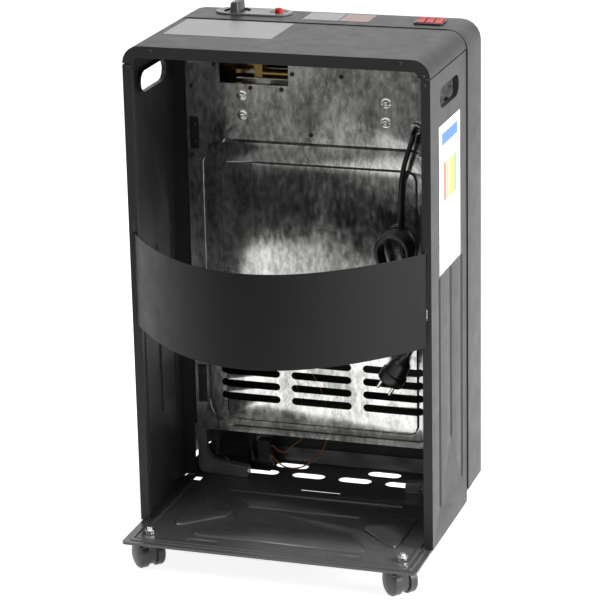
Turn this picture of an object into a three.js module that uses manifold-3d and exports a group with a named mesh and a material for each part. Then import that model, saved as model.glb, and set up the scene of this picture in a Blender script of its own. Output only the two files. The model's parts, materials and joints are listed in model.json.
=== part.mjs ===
// Portable gas cabinet heater with three electric tubes, shown open at the rear.
//
// Millimetres, +Z up. Heat leaves towards -Y and the gas bottle goes in from +Y.
// Construction frame: x = 0 is the middle, y = 0 the rear face of the cabinet, z = 0 the floor.
// "Right" and "left" are as seen by someone who stands in front of the heater: right is +X.

import * as THREE from 'three';
import { mergeVertices } from 'three/addons/utils/BufferGeometryUtils.js';
import Module from 'manifold-3d';

const wasm = await Module();
wasm.setup();

// ---------------------------------------------------------------- driving dimensions

const GAP = 0.3;                 // between pieces that are seated on each other
const SHEET = 1.2;               // painted panel steel
const TURN = 5;                  // facets on a quarter turn
const MERGE = 0.02;              // corners nearer than this become one

// Cabinet
const WIDTH = 420;               // over the two side panels
const PANEL_DEPTH = 182;         // side panels and cover, rear face to front edge
const JOINT = 2.4;               // dark joint between the panels and the front frame
const FRONT_DEPTH = 88;          // front frame, rear edge to front face
const BASE_TOP = 50;             // floor to the top of the base plate
const SEAM_TOP = 698.6;          // floor to the lower edge of the cover
const SEAM = 1.7;                // open seam between a side panel and the cover
const COVER_RADIUS = 24;         // rounded upper corners of the cover

// Base plate
const BASE_INSET = 2;             // side panels overhang the base plate
const BASE_TAIL = 80;            // how far the base stands out behind the cabinet
const BASE_NOSE = 269;           // rear face of the cabinet to the front edge of the base
const NOSE_INSET = 12.5;         // front frame to the narrower part of the base inside it
const BASE_HEM = 3.6;            // height of the turned-down rim
const BASE_PRESS = 2;            // depth of the stamped pattern
const NOSE_FLANGE = 22;          // height of the turned-up edge round the nose
const BEAD_WIDTH = 5.4;          // two beads run along its rear edge and sides
const BEAD_HEIGHT = 1.6;

// Side panels
const FLANGE = 12.5;             // turned-in rear flange
const HAND_LENGTH = 96;
const HAND_HEIGHT = 29;
const HAND_Y = -95;
const HAND_Z = 661;
const RIB_WIDTH = 13;
const RIB_PRESS = 2;

// Bottle strap
const STRAP_BOTTOM = 338;
const STRAP_HEIGHT = 129;
const STRAP_SEAT = 7;            // outer face of a side panel to the hooks of the strap
const STRAP_BOW = 141;           // how far the sheet bows out behind the cabinet
const STRAP_LIFT = 14;           // travel that frees the hooks
const HOOK_HEIGHT = 22;
const HOOK_DROP = 10;
const HOOK_REACH = 6;

// Front frame
const FRAME_OVER = 1.5;          // front frame stands out past each side panel
const FRAME_RISE = 1;            // and above the cover
const FRAME_BOTTOM = 68;
const FRAME_SHEET = 1.2;
const FRAME_CORNER = 28;         // upper corners, seen from the front
const FRAME_ROUND = 18;          // rounding between its sides and its face
const WINDOW_WIDTH = 300;        // heat opening
const WINDOW_LOW = 340;
const WINDOW_HIGH = 628;
const WINDOW_LIP = 22;

// Rear heat shield
const SHIELD_SHEET = 1;
const SHIELD_INSET = 20.5;       // side of the front frame to the edge of the shield
const SHIELD_BOTTOM = 122;
const SHIELD_TOP = 700;
const PRESS_STEP = 3;            // each of the two steps of the pressed field
const SLOT_LENGTH = 89;
const SLOT_HEIGHT = 11;
const SLOT_PITCH_X = 105.5;
const SLOT_PITCH_Z = 19.2;
const SLOT_LOW = 178.3;          // centre height of the lowest row
const VALVE_WINDOW_REACH = [-88, 12];    // opening that shows the gas valve, from the knob's axis
const VALVE_WINDOW_SILL = 634;

// Burner and electric tubes
const BURNER_WIDTH = 266;
const BURNER_LOW = 482;
const BURNER_HIGH = 630;
const BURNER_DEPTH = 48;
const PLAQUE_WIDTH = 86;
const PLAQUE_HEIGHT = 134;
const PLAQUE_THICK = 13;
const REFLECTOR_OVER = 5;        // reflector stands out past the window at each side
const REFLECTOR_LOW = 334;
const REFLECTOR_HIGH = 634;
const REFLECTOR_SHEET = 0.8;
const REFLECTOR_BACK = 226;      // behind the rear face of the cabinet, towards the front
const TUBE_STAND = 15;           // tube axis in front of the reflector's back
const TUBE_RADIUS = 5;
const TUBE_LENGTH = 262;
const TUBE_CAP_RADIUS = 7;
const TUBE_PITCH = 38;
const TUBE_LOW = 366;

// Controls on the top of the front frame
const KNOB_INSET = 82.5;         // side of the front frame to the knob's axis
const PIEZO_PITCH = 60;          // knob's axis to the igniter's
const CONTROL_INSET = 39.4;      // front face to the line of the controls
const CONTROL_PLATE = [31, 19, 42];      // past the knob, past the igniter, width
const KNOB_RADIUS = 17.4;
const KNOB_WELL = 18.8;          // round recess that the pressed knob sinks into
const KNOB_SINK = 6;             // underside of the knob below the frame's top
const KNOB_SKIRT = 6.4;
const KNOB_TALL = 22;
const KNOB_GRIP = [33, 12];
const KNOB_PRESS = 4;
const PLATE_THICK = 2;
const PIEZO_RADIUS = 5.3;
const PIEZO_COLLAR = 12.2;
const PIEZO_BARREL = 8.6;
const PIEZO_STAND = 6;
const PIEZO_PRESS = 5;
const SWITCH_INSET = 61;         // side of the front frame to the middle switch
const SWITCH_SETBACK = 53.4;     // front face to the middle of the switches
const SWITCH_PITCH = 12;
const ROCKER_WIDTH = 10.6;
const ROCKER_LENGTH = 24;
const ROCKER_TILT = 9;           // degrees either side of level

// Castors
const WHEEL_RADIUS = 20;
const WHEEL_WIDTH = 14.5;
const CASTOR_WEB = 12;           // body between the two wheels
const CASTOR_TRAIL = 8;          // wheel axle behind the swivel axis
const AXLE_RADIUS = 3;
const STUD_RADIUS = 4;
const CASTOR_EDGE = 28;          // side of the base to the swivel axis
const CASTOR_NOSE_EDGE = 32;     // the same at the narrower nose
const CASTOR_END = 37;           // rear and front edge of the base to the swivel axis
const WHEEL_CAP = 3;             // closed outer face of a wheel
const CASTOR_TURN = -45;         // degrees, the way the wheels stand in the picture

// Mains cord
const CORD_DIAMETER = 7;
const HANK_TOP = 444;
const HANK_BOTTOM = 294;
const HANK_X = -117;
const HANK_Y = -170;
const HANK_LOOPS = 4;
const HANK_PITCH = 8;
const HANK_FOLD = 22;            // radius at the folds, on the cord's centre line
const HANK_WAIST = 12;           // how far each run is drawn in at the tie
const TIE_HEIGHT = 9;

// ---------------------------------------------------------------- derived values

const HALF = WIDTH / 2;
const BASE_WIDTH = WIDTH - 2 * BASE_INSET;
const FRAME_WIDTH = WIDTH + 2 * FRAME_OVER;
const BASE_NOSE_WIDTH = FRAME_WIDTH - 2 * NOSE_INSET;
const SHIELD_WIDTH = FRAME_WIDTH - 2 * SHIELD_INSET;
const REFLECTOR_WIDTH = WINDOW_WIDTH + 2 * REFLECTOR_OVER;
const STRAP_SEAT_X = HALF - STRAP_SEAT;
const COVER_TOP = SEAM_TOP + COVER_RADIUS;
const FRAME_TOP = COVER_TOP + FRAME_RISE;
const FRAME_REAR = -(PANEL_DEPTH + JOINT);
const FRAME_FRONT = FRAME_REAR - FRONT_DEPTH;
const STRAP_TOP = STRAP_BOTTOM + STRAP_HEIGHT;
const KNOB_X = FRAME_WIDTH / 2 - KNOB_INSET;
const PIEZO_X = KNOB_X - PIEZO_PITCH;
const CONTROL_Y = FRAME_FRONT + CONTROL_INSET;
const SWITCH_X = -(FRAME_WIDTH / 2 - SWITCH_INSET);
const SWITCH_Y = FRAME_FRONT + SWITCH_SETBACK;
const VALVE_WINDOW = VALVE_WINDOW_REACH.map((reach) => KNOB_X + reach);
const SHIELD_REAR = FRAME_REAR + GAP + SHIELD_SHEET;     // rear face of its flat border
const SHIELD_CREST = SHIELD_REAR + 2 * PRESS_STEP;

// ---------------------------------------------------------------- solids

// Outlines lie in two world axes and are swept along the third.
const PLANES = {
  x: new THREE.Matrix4().makeBasis(
    new THREE.Vector3(0, 1, 0), new THREE.Vector3(0, 0, 1), new THREE.Vector3(1, 0, 0)),
  y: new THREE.Matrix4().makeBasis(
    new THREE.Vector3(1, 0, 0), new THREE.Vector3(0, 0, 1), new THREE.Vector3(0, -1, 0)),
  z: new THREE.Matrix4(),
};

function solidOf(geometry) {
  const bare = geometry.clone();
  bare.deleteAttribute('normal');
  bare.deleteAttribute('uv');
  const merged = mergeVertices(bare, 1e-4);
  const points = merged.attributes.position;
  const faces = Uint32Array.from(merged.index.array);
  const a = new THREE.Vector3();
  const b = new THREE.Vector3();
  const c = new THREE.Vector3();
  let volume = 0;
  for (let i = 0; i < faces.length; i += 3) {
    a.fromBufferAttribute(points, faces[i]);
    b.fromBufferAttribute(points, faces[i + 1]);
    c.fromBufferAttribute(points, faces[i + 2]);
    volume += a.dot(b.cross(c));
  }
  if (volume < 0) {
    faces.reverse();
  }
  const vertProperties = Float32Array.from(points.array);
  return new wasm.Manifold(new wasm.Mesh({ numProp: 3, vertProperties, triVerts: faces }));
}

function geometryOf(solid) {
  const { vertProperties, triVerts } = solid.asOriginal().simplify(MERGE).getMesh();
  const geometry = new THREE.BufferGeometry();
  geometry.setAttribute('position', new THREE.BufferAttribute(vertProperties, 3));
  geometry.setIndex(new THREE.BufferAttribute(triVerts, 1));
  geometry.computeVertexNormals();
  return geometry;
}

function moved(solid, matrix) {
  const geometry = geometryOf(solid).applyMatrix4(matrix);
  const vertProperties = Float32Array.from(geometry.attributes.position.array);
  const triVerts = Uint32Array.from(geometry.index.array);
  if (matrix.determinant() < 0) {
    triVerts.reverse();
  }
  return new wasm.Manifold(new wasm.Mesh({ numProp: 3, vertProperties, triVerts }));
}

function mirrored(solid, side) {
  return side > 0 ? solid : moved(solid, new THREE.Matrix4().makeScale(-1, 1, 1));
}

function unite(solids) {
  return solids.reduce((all, next) => all.add(next));
}

function box(x0, x1, y0, y1, z0, z1) {
  return solidOf(new THREE.BoxGeometry(x1 - x0, y1 - y0, z1 - z0)
    .translate((x0 + x1) / 2, (y0 + y1) / 2, (z0 + z1) / 2));
}

// An outline swept along one world axis, from the lower to the higher coordinate.
function prism(axis, shape, from, to) {
  const start = axis === 'y' ? -to : from;
  const options = { depth: to - from, bevelEnabled: false, curveSegments: TURN };
  return solidOf(new THREE.ExtrudeGeometry(shape, options)
    .translate(0, 0, start).applyMatrix4(PLANES[axis]));
}

function rod(axis, radius, from, to, u, v, sides = 20) {
  const circle = new THREE.Shape();
  for (let i = 0; i < sides; i += 1) {
    const turn = 2 * Math.PI * (i + 0.5) / sides;
    const x = u + radius * Math.cos(turn);
    const y = v + radius * Math.sin(turn);
    if (i === 0) circle.moveTo(x, y);
    else circle.lineTo(x, y);
  }
  return prism(axis, circle, from, to);
}

// A profile of [radius, height] pairs turned about the vertical through (x, y).
function turned(profile, x, y, sides = 28) {
  const points = profile.map(([radius, height]) => new THREE.Vector2(radius, height));
  return solidOf(new THREE.LatheGeometry(points, sides).rotateX(Math.PI / 2).translate(x, y, 0));
}

// Points of a polygon whose corners are rounded, drawn in by an inset.
function roundedPoints(corners, radii, inset = 0, steps = TURN) {
  const count = corners.length;
  const edges = corners.map((corner, i) => {
    const next = corners[(i + 1) % count];
    const along = new THREE.Vector2(next[0] - corner[0], next[1] - corner[1]).normalize();
    return { along, inward: new THREE.Vector2(-along.y, along.x) };
  });
  const points = [];
  corners.forEach((corner, i) => {
    const before = edges[(i + count - 1) % count];
    const after = edges[i];
    const bend = before.inward.clone().add(after.inward);
    const reach = inset / (1 + before.inward.dot(after.inward));
    const tip = new THREE.Vector2(corner[0], corner[1]).addScaledVector(bend, reach);
    const cosine = before.along.dot(after.along);
    const half = Math.acos(THREE.MathUtils.clamp(cosine, -1, 1)) / 2;
    const radius = Math.max((Array.isArray(radii) ? radii[i] : radii) - inset, 0.2);
    const cut = radius * Math.tan(half);
    const start = tip.clone().addScaledVector(before.along, -cut);
    const centre = start.clone().addScaledVector(before.inward, radius);
    const first = Math.atan2(start.y - centre.y, start.x - centre.x);
    for (let k = 0; k <= steps; k += 1) {
      const turn = first + 2 * half * k / steps;
      points.push(new THREE.Vector2(
        centre.x + radius * Math.cos(turn), centre.y + radius * Math.sin(turn)));
    }
  });
  return points;
}

function rectangle(u0, u1, v0, v1) {
  return [[u0, v0], [u1, v0], [u1, v1], [u0, v1]];
}

function rounded(corners, radii, inset = 0, steps = TURN) {
  return new THREE.Shape(roundedPoints(corners, radii, inset, steps));
}

function slot(centreU, centreV, length, height, steps = 3) {
  const half = [length / 2, height / 2];
  const corners = rectangle(
    centreU - half[0], centreU + half[0], centreV - half[1], centreV + half[1]);
  return rounded(corners, Math.min(...half) - 0.01, 0, steps);
}

// A solid through rings of equal count, listed with their coordinates along the axis.
function stack(axis, rings, coordinates) {
  const levels = coordinates.map((value) => (axis === 'y' ? -value : value));
  const order = levels.map((level, i) => i).sort((a, b) => levels[a] - levels[b]);
  const count = rings[0].length;
  const last = rings.length - 1;
  const positions = [];
  order.forEach((k) => rings[k].forEach((p) => positions.push(p.x, p.y, levels[k])));
  const index = [];
  for (let k = 0; k < last; k += 1) {
    for (let i = 0; i < count; i += 1) {
      const j = (i + 1) % count;
      const low = k * count;
      const high = low + count;
      index.push(low + i, low + j, high + j, low + i, high + j, high + i);
    }
  }
  THREE.ShapeUtils.triangulateShape(rings[order[last]], []).forEach(([a, b, c]) => {
    index.push(last * count + a, last * count + b, last * count + c);
  });
  THREE.ShapeUtils.triangulateShape(rings[order[0]], []).forEach(([a, b, c]) => {
    index.push(c, b, a);
  });
  const geometry = new THREE.BufferGeometry();
  geometry.setAttribute('position', new THREE.Float32BufferAttribute(positions, 3));
  geometry.setIndex(index);
  return solidOf(geometry.applyMatrix4(PLANES[axis]));
}

// A stamped field: a rounded outline at its root that draws in towards its crest.
function pressing(axis, corners, radii, draft, root, crest, steps = 2) {
  const wide = roundedPoints(corners, radii, 0, steps);
  const narrow = roundedPoints(corners, radii, draft, steps);
  return stack(axis, [wide, narrow], [root, crest]);
}

// Presses a field into a sheet: adds it on the far side and hollows it from the near side.
function press(sheet, axis, corners, radii, draft, face, height, thickness) {
  const way = Math.sign(height);
  const root = face - way * thickness / 2;
  const outer = pressing(axis, corners, radii, draft, root, face + height);
  const hollow = pressing(
    axis, corners, radii, draft, root - way * thickness, face + height - way * thickness);
  return sheet.add(outer).subtract(hollow);
}

class Route extends THREE.Curve {
  constructor(place) {
    super();
    this.place = place;
  }

  getPoint(t, target = new THREE.Vector3()) {
    return target.copy(this.place(t));
  }
}

function cable(path, diameter, steps, sides) {
  const section = new THREE.Shape();
  for (let i = 0; i < sides; i += 1) {
    const turn = 2 * Math.PI * i / sides;
    const x = diameter / 2 * Math.cos(turn);
    const y = diameter / 2 * Math.sin(turn);
    if (i === 0) section.moveTo(x, y);
    else section.lineTo(x, y);
  }
  const options = { steps, extrudePath: path, bevelEnabled: false };
  return solidOf(new THREE.ExtrudeGeometry(section, options));
}

function through(points) {
  const curve = new THREE.CatmullRomCurve3(points.map((p) => new THREE.Vector3(...p)));
  curve.curveType = 'centripetal';
  return curve;
}

// ---------------------------------------------------------------- finishes

function finish(color, roughness, metalness) {
  return new THREE.MeshStandardMaterial({ color, roughness, metalness });
}

const PAINT = finish(0x55575a, 0.45, 0.2);
const DARK_PAINT = finish(0x3a3b3d, 0.5, 0.2);
const ZINC = finish(0xb4b8b8, 0.35, 0.9);
const STEEL = finish(0xcfd2d4, 0.2, 1);
const BRASS = finish(0xc6a04a, 0.3, 1);
const CERAMIC = finish(0xe9dfcb, 0.9, 0);
const QUARTZ = finish(0xe6ddd2, 0.1, 0);
const GREY_PLASTIC = finish(0x6c6e70, 0.6, 0);
const BLACK_PLASTIC = finish(0x161718, 0.5, 0);
const RED_PLASTIC = finish(0xc8171d, 0.25, 0);
const CORD_RUBBER = finish(0x101112, 0.6, 0);
const BROWN_WIRE = finish(0x7a4a2a, 0.6, 0);

const heater = new THREE.Group();

function add(name, solid, material, parent = heater) {
  const mesh = new THREE.Mesh(geometryOf(solid), material);
  mesh.name = name;
  parent.add(mesh);
  return mesh;
}

// ---------------------------------------------------------------- base plate

const BASE_HALF = BASE_WIDTH / 2;
const NOSE_HALF = BASE_NOSE_WIDTH / 2;
const NOSE_START = -PANEL_DEPTH;
const VENT = { length: 49, width: 19, rearY: -218, frontY: -250 };
const CASTORS = [
  { name: 'rear_right', x: BASE_HALF - CASTOR_EDGE, y: BASE_TAIL - CASTOR_END },
  { name: 'rear_left', x: -BASE_HALF + CASTOR_EDGE, y: BASE_TAIL - CASTOR_END },
  { name: 'front_right', x: NOSE_HALF - CASTOR_NOSE_EDGE, y: -BASE_NOSE + CASTOR_END },
  { name: 'front_left', x: -NOSE_HALF + CASTOR_NOSE_EDGE, y: -BASE_NOSE + CASTOR_END },
];

function baseOutline(inset) {
  const corners = [
    [-BASE_HALF, NOSE_START], [-NOSE_HALF, NOSE_START], [-NOSE_HALF, -BASE_NOSE],
    [NOSE_HALF, -BASE_NOSE], [NOSE_HALF, NOSE_START], [BASE_HALF, NOSE_START],
    [BASE_HALF, BASE_TAIL], [-BASE_HALF, BASE_TAIL],
  ];
  const radii = [4, 0.5, 16, 16, 0.5, 4, 5, 5];
  return rounded(corners, radii, inset, 4);
}

// A bead that follows the rear edge, turns its corners and runs forward along both sides
function bead(inset, front, drop) {
  const corners = rectangle(-BASE_HALF, BASE_HALF, -BASE_HALF, BASE_TAIL);
  const low = BASE_TOP - SHEET / 2 - drop;
  const high = BASE_TOP + BEAD_HEIGHT - drop;
  const draft = BEAD_HEIGHT * 0.7;
  const ring = (offset) => roundedPoints(corners, inset + 7, offset, 2);
  const outside = stack('z', [ring(inset), ring(inset + draft)], [low, high]);
  const inside = stack('z',
    [ring(inset + BEAD_WIDTH + draft), ring(inset + BEAD_WIDTH - draft)], [low - draft, high + draft]);
  return outside.subtract(inside)
    .intersect(box(-HALF, HALF, front + drop, HALF, low - 1, high + 1));
}

function basePlate() {
  let plate = prism('z', baseOutline(0), BASE_TOP - SHEET, BASE_TOP);
  const rim = prism('z', baseOutline(0), BASE_TOP - BASE_HEM, BASE_TOP - SHEET / 2)
    .subtract(prism('z', baseOutline(SHEET), BASE_TOP - BASE_HEM - 1, BASE_TOP));
  plate = plate.add(rim);
  const lip = prism('z', baseOutline(0), BASE_TOP - SHEET / 2, BASE_TOP + NOSE_FLANGE)
    .subtract(prism('z', baseOutline(SHEET), BASE_TOP - SHEET, BASE_TOP + NOSE_FLANGE + 1))
    .intersect(box(-HALF, HALF, -BASE_NOSE - 1, FRAME_REAR - FRAME_SHEET - 2 * GAP,
      BASE_TOP - SHEET, BASE_TOP + NOSE_FLANGE + 1));
  plate = plate.add(lip);

  const stamp = (corners, radii, draft = 2, height = BASE_PRESS) => {
    plate = press(plate, 'z', corners, radii, draft, BASE_TOP, height, SHEET);
  };
  const mid = -55;                                   // middle of the stamped cross
  const reach = 128;                                 // half width of the outer field ends
  stamp([[-82, mid + 28], [82, mid + 28], [reach + 8, 34], [-reach - 8, 34]], [8, 8, 10, 10]);
  stamp([[-reach, -128], [reach, -128], [82, mid - 26], [-82, mid - 26]], [10, 10, 8, 8]);
  [1, -1].forEach((side) => {
    const triangle = [[163, -112], [163, 18], [97, mid + 12], [97, mid - 12]];
    const corners = side > 0 ? triangle : triangle.map(([x, y]) => [-x, y]).reverse();
    stamp(corners, 10);
    const pad = [side * 78, side * 125].sort((a, b) => a - b);
    stamp(rectangle(pad[0], pad[1], 45, 59), 4, 1.5, -1.4);
  });
  stamp(rectangle(-132, 132, -147, -134), 5);
  [[7, 5], [14.5, -150]].forEach(([inset, front]) => {
    plate = plate.add(bead(inset, front, 0)).subtract(bead(inset, front, SHEET));
  });

  [-105, -35, 35, 105].forEach((x) => {
    plate = plate.subtract(
      prism('z', slot(x, VENT.rearY, VENT.length, VENT.width), BASE_TOP - 5, BASE_TOP + 5));
  });
  [-70, 70].forEach((x) => {
    plate = plate.subtract(
      prism('z', slot(x, VENT.frontY, VENT.length, VENT.width), BASE_TOP - 5, BASE_TOP + 5));
  });
  plate = plate.subtract(prism('z', slot(0, -164, 60, 4), BASE_TOP - 5, BASE_TOP + 5));
  [1, -1].forEach((side) => {
    plate = plate.subtract(box(
      side * 187 - 5.5, side * 187 + 5.5, -175, -161, BASE_TOP - 5, BASE_TOP + 5));
  });
  CASTORS.forEach(({ x, y }) => {
    plate = plate.subtract(
      rod('z', STUD_RADIUS + GAP, BASE_TOP - 5, BASE_TOP + 5, x, y, 16));
  });
  return plate;
}

add('base_plate', basePlate(), DARK_PAINT);

// ---------------------------------------------------------------- side panels

const PANEL_LOW = BASE_TOP + GAP;
const PANEL_HIGH = SEAM_TOP - SEAM;
const INNER = HALF - SHEET;
const HOOKS = [STRAP_TOP - HOOK_HEIGHT, STRAP_BOTTOM + 14];      // lower edge of each hook's neck
const RIBS = [
  { y: -40, low: 96, high: 424 },
  { y: -97, low: 176, high: 424 },
  { y: -154, low: 96, high: 424 },
];

function sidePanel(side) {
  let panel = box(INNER, HALF, -PANEL_DEPTH, 0, PANEL_LOW, PANEL_HIGH);
  const flangeCorners = rectangle(HALF - FLANGE, HALF, PANEL_LOW, PANEL_HIGH);
  const rearFlange = prism('y', rounded(flangeCorners, [7, 4, 0.5, 0.5]), -SHEET, 0);
  const rearReturn = box(
    HALF - FLANGE, HALF - FLANGE + SHEET, -8, -SHEET / 2, PANEL_LOW + 8, PANEL_HIGH);
  const frontFlange = box(
    HALF - 16, HALF - SHEET / 2, -PANEL_DEPTH, -PANEL_DEPTH + SHEET, PANEL_LOW, PANEL_HIGH);
  const foot = box(
    HALF - 14, HALF - SHEET / 2, -PANEL_DEPTH + 12, -12, PANEL_LOW, PANEL_LOW + SHEET);
  panel = unite([panel, rearFlange, rearReturn, frontFlange, foot]);

  // Tongue inside the skirt of the cover, which is screwed to it
  const tongueX = INNER - 2 * GAP;
  panel = panel
    .add(box(tongueX - SHEET, INNER + SHEET / 2, -PANEL_DEPTH + 10, -14,
      PANEL_HIGH - 12, PANEL_HIGH - 7))
    .add(box(tongueX - SHEET, tongueX, -PANEL_DEPTH + 10, -14,
      PANEL_HIGH - 12, SEAM_TOP + 2.5));

  // Hand hole with a collar drawn inwards
  const collar = prism('x', slot(HAND_Y, HAND_Z, HAND_LENGTH + 2 * SHEET,
    HAND_HEIGHT + 2 * SHEET), HALF - 7, HALF - SHEET / 2);
  const hole = prism('x', slot(HAND_Y, HAND_Z, HAND_LENGTH, HAND_HEIGHT), HALF - 9, HALF + 2);
  panel = panel.add(collar).subtract(hole);

  RIBS.forEach(({ y, low, high }) => {
    panel = press(panel, 'x', rectangle(y - RIB_WIDTH / 2, y + RIB_WIDTH / 2, low, high),
      6, 4, INNER, -RIB_PRESS, SHEET);
  });
  HOOKS.forEach((low) => {
    panel = panel.subtract(box(STRAP_SEAT_X - SHEET / 2 - 0.7, STRAP_SEAT_X + SHEET / 2 + 0.7,
      -3, 1, low - GAP, low + HOOK_HEIGHT + STRAP_LIFT + 2));
  });
  return mirrored(panel, side);
}

add('side_panel_right', sidePanel(1), PAINT);
add('side_panel_left', sidePanel(-1), PAINT);

// ---------------------------------------------------------------- top cover

function archPoints(inset, low, radius) {
  const x = HALF - inset;
  const top = COVER_TOP - inset;
  const bend = Math.max(radius - inset, 1);
  const shape = new THREE.Shape();
  shape.moveTo(-x, low);
  shape.lineTo(x, low);
  shape.lineTo(x, top - bend);
  shape.absarc(x - bend, top - bend, bend, 0, Math.PI / 2, false);
  shape.lineTo(-x + bend, top);
  shape.absarc(-x + bend, top - bend, bend, Math.PI / 2, Math.PI, false);
  return shape;
}

function topCover() {
  const outer = prism('y', archPoints(0, SEAM_TOP, COVER_RADIUS), -PANEL_DEPTH, 0);
  const hollow = prism('y', archPoints(SHEET, SEAM_TOP - 5, COVER_RADIUS),
    -PANEL_DEPTH + SHEET, -SHEET);
  const rearMouth = prism('y', archPoints(FLANGE + 3.5, SEAM_TOP - 5, COVER_RADIUS), -5, 5);
  const frontMouth = prism('y', archPoints(12, SEAM_TOP - 5, COVER_RADIUS),
    -PANEL_DEPTH - 5, -PANEL_DEPTH + 5);
  return outer.subtract(hollow).subtract(rearMouth).subtract(frontMouth);
}

add('top_cover', topCover(), PAINT);

// ---------------------------------------------------------------- bottle strap

function strapY(x) {
  return GAP + SHEET + STRAP_BOW * (1 - (x / STRAP_SEAT_X) ** 2);
}

function bottleStrap() {
  const steps = 36;
  const outer = [];
  const inner = [];
  for (let i = 0; i <= steps; i += 1) {
    const x = STRAP_SEAT_X * (1 - 2 * i / steps);
    const slope = -2 * STRAP_BOW * x / STRAP_SEAT_X ** 2;
    const normal = new THREE.Vector2(-slope, 1).normalize();
    outer.push(new THREE.Vector2(x, strapY(x)));
    inner.push(new THREE.Vector2(x, strapY(x)).addScaledVector(normal, -SHEET));
  }
  inner[0].set(STRAP_SEAT_X - SHEET / 2, GAP);
  inner[steps].set(-STRAP_SEAT_X + SHEET / 2, GAP);
  outer[0].set(STRAP_SEAT_X + SHEET / 2, GAP + SHEET / 2);
  outer[steps].set(-STRAP_SEAT_X - SHEET / 2, GAP + SHEET / 2);
  const plan = new THREE.Shape([...outer, ...inner.reverse()]);
  let strap = prism('z', plan, STRAP_BOTTOM, STRAP_TOP);
  [1, -1].forEach((side) => HOOKS.forEach((low) => {
    const x0 = side * STRAP_SEAT_X - SHEET / 2;
    const x1 = side * STRAP_SEAT_X + SHEET / 2;
    const neck = box(x0, x1, -HOOK_REACH, GAP + SHEET / 2, low, low + HOOK_HEIGHT);
    const hook = box(x0, x1, -HOOK_REACH, -SHEET - 0.8, low - HOOK_DROP, low + 1);
    strap = strap.add(neck).add(hook);
  }));
  return strap;
}

add('bottle_strap', bottleStrap(), DARK_PAINT);

// ---------------------------------------------------------------- front frame

const FRAME_HALF = FRAME_WIDTH / 2;
const MOUTH_HALF = FRAME_HALF - 14.5;    // lower opening of its rear flange
const PLATE_LOW = FRAME_TOP + GAP;
const PLATE_TOP = PLATE_LOW + PLATE_THICK;
const SWITCH_BODY = [SWITCH_PITCH * 3 + 0.6, ROCKER_LENGTH + 3];

// Body of the frame with rounded front edges, drawn in by a wall thickness
function frameSolid(wall) {
  const corners = rectangle(-FRAME_HALF, FRAME_HALF, FRAME_BOTTOM - 60, FRAME_TOP);
  const radii = [2, 2, FRAME_CORNER, FRAME_CORNER];
  const front = FRAME_FRONT + wall;
  const round = FRAME_ROUND - wall;
  const rings = [roundedPoints(corners, radii, wall)];
  const coordinates = [FRAME_REAR + 20];
  for (let k = 0; k <= TURN; k += 1) {
    const turn = Math.PI / 2 * k / TURN;
    rings.push(roundedPoints(corners, radii, wall + round * (1 - Math.cos(turn))));
    coordinates.push(front + round * (1 - Math.sin(turn)));
  }
  return stack('y', rings, coordinates);
}

function frontFrame() {
  const keep = box(-300, 300, FRAME_FRONT - 1, FRAME_REAR, FRAME_BOTTOM, FRAME_TOP + 5);
  let frame = frameSolid(0).intersect(keep).subtract(frameSolid(FRAME_SHEET));

  // Turned-in rear flange that carries the heat shield
  const flangePlate = prism('y', rounded(
    rectangle(-FRAME_HALF, FRAME_HALF, FRAME_BOTTOM, FRAME_TOP),
    [1, 1, FRAME_CORNER, FRAME_CORNER]), FRAME_REAR - FRAME_SHEET, FRAME_REAR);
  const upperHalf = FRAME_HALF - 39.5;
  const upperMouth = box(-upperHalf, upperHalf, FRAME_REAR - 5, FRAME_REAR + 5,
    SHIELD_BOTTOM + 8, FRAME_TOP - 22);
  const lowerMouth = box(-MOUTH_HALF, MOUTH_HALF, FRAME_REAR - 5, FRAME_REAR + 5,
    FRAME_BOTTOM - 5, SHIELD_BOTTOM + 9);
  frame = frame.add(flangePlate.subtract(upperMouth).subtract(lowerMouth));

  // Heat opening with a lip turned inwards
  const windowHalf = WINDOW_WIDTH / 2;
  const opening = rectangle(-windowHalf, windowHalf, WINDOW_LOW, WINDOW_HIGH);
  const around = rectangle(-windowHalf - FRAME_SHEET, windowHalf + FRAME_SHEET,
    WINDOW_LOW - FRAME_SHEET, WINDOW_HIGH + FRAME_SHEET);
  const lip = prism('y', rounded(around, 3.5, 0, 2), FRAME_FRONT + 0.5, FRAME_FRONT + WINDOW_LIP);
  frame = frame.add(lip)
    .subtract(prism('y', rounded(opening, 2, 0, 2), FRAME_FRONT - 5, FRAME_FRONT + WINDOW_LIP + 5));

  // Plain lower panel, stiffened by two long pressings
  [130, 216].forEach((low) => {
    frame = press(frame, 'y', rectangle(-150, 150, low, low + 62), 12, 3,
      FRAME_FRONT + FRAME_SHEET, 2.5, FRAME_SHEET);
  });

  // Openings in the top for the valve spindle, the igniter and the switches
  frame = frame.subtract(
    rod('z', KNOB_WELL, FRAME_TOP - 8, FRAME_TOP + 3, KNOB_X, CONTROL_Y, 28));
  frame = frame.subtract(
    rod('z', PIEZO_BARREL + GAP, FRAME_TOP - 8, FRAME_TOP + 3, PIEZO_X, CONTROL_Y, 24));
  const [bodyX, bodyY] = SWITCH_BODY;
  return frame.subtract(box(
    SWITCH_X - bodyX / 2 - GAP, SWITCH_X + bodyX / 2 + GAP,
    SWITCH_Y - bodyY / 2 - GAP, SWITCH_Y + bodyY / 2 + GAP, FRAME_TOP - 8, FRAME_TOP + 3));
}

add('front_frame', frontFrame(), PAINT);

// ---------------------------------------------------------------- rear heat shield

const CLIP_WINDOWS = [[538, 584], [163, 220]];
const GLAND = { x: -141, z: 586, hole: 5.6 };

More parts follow.
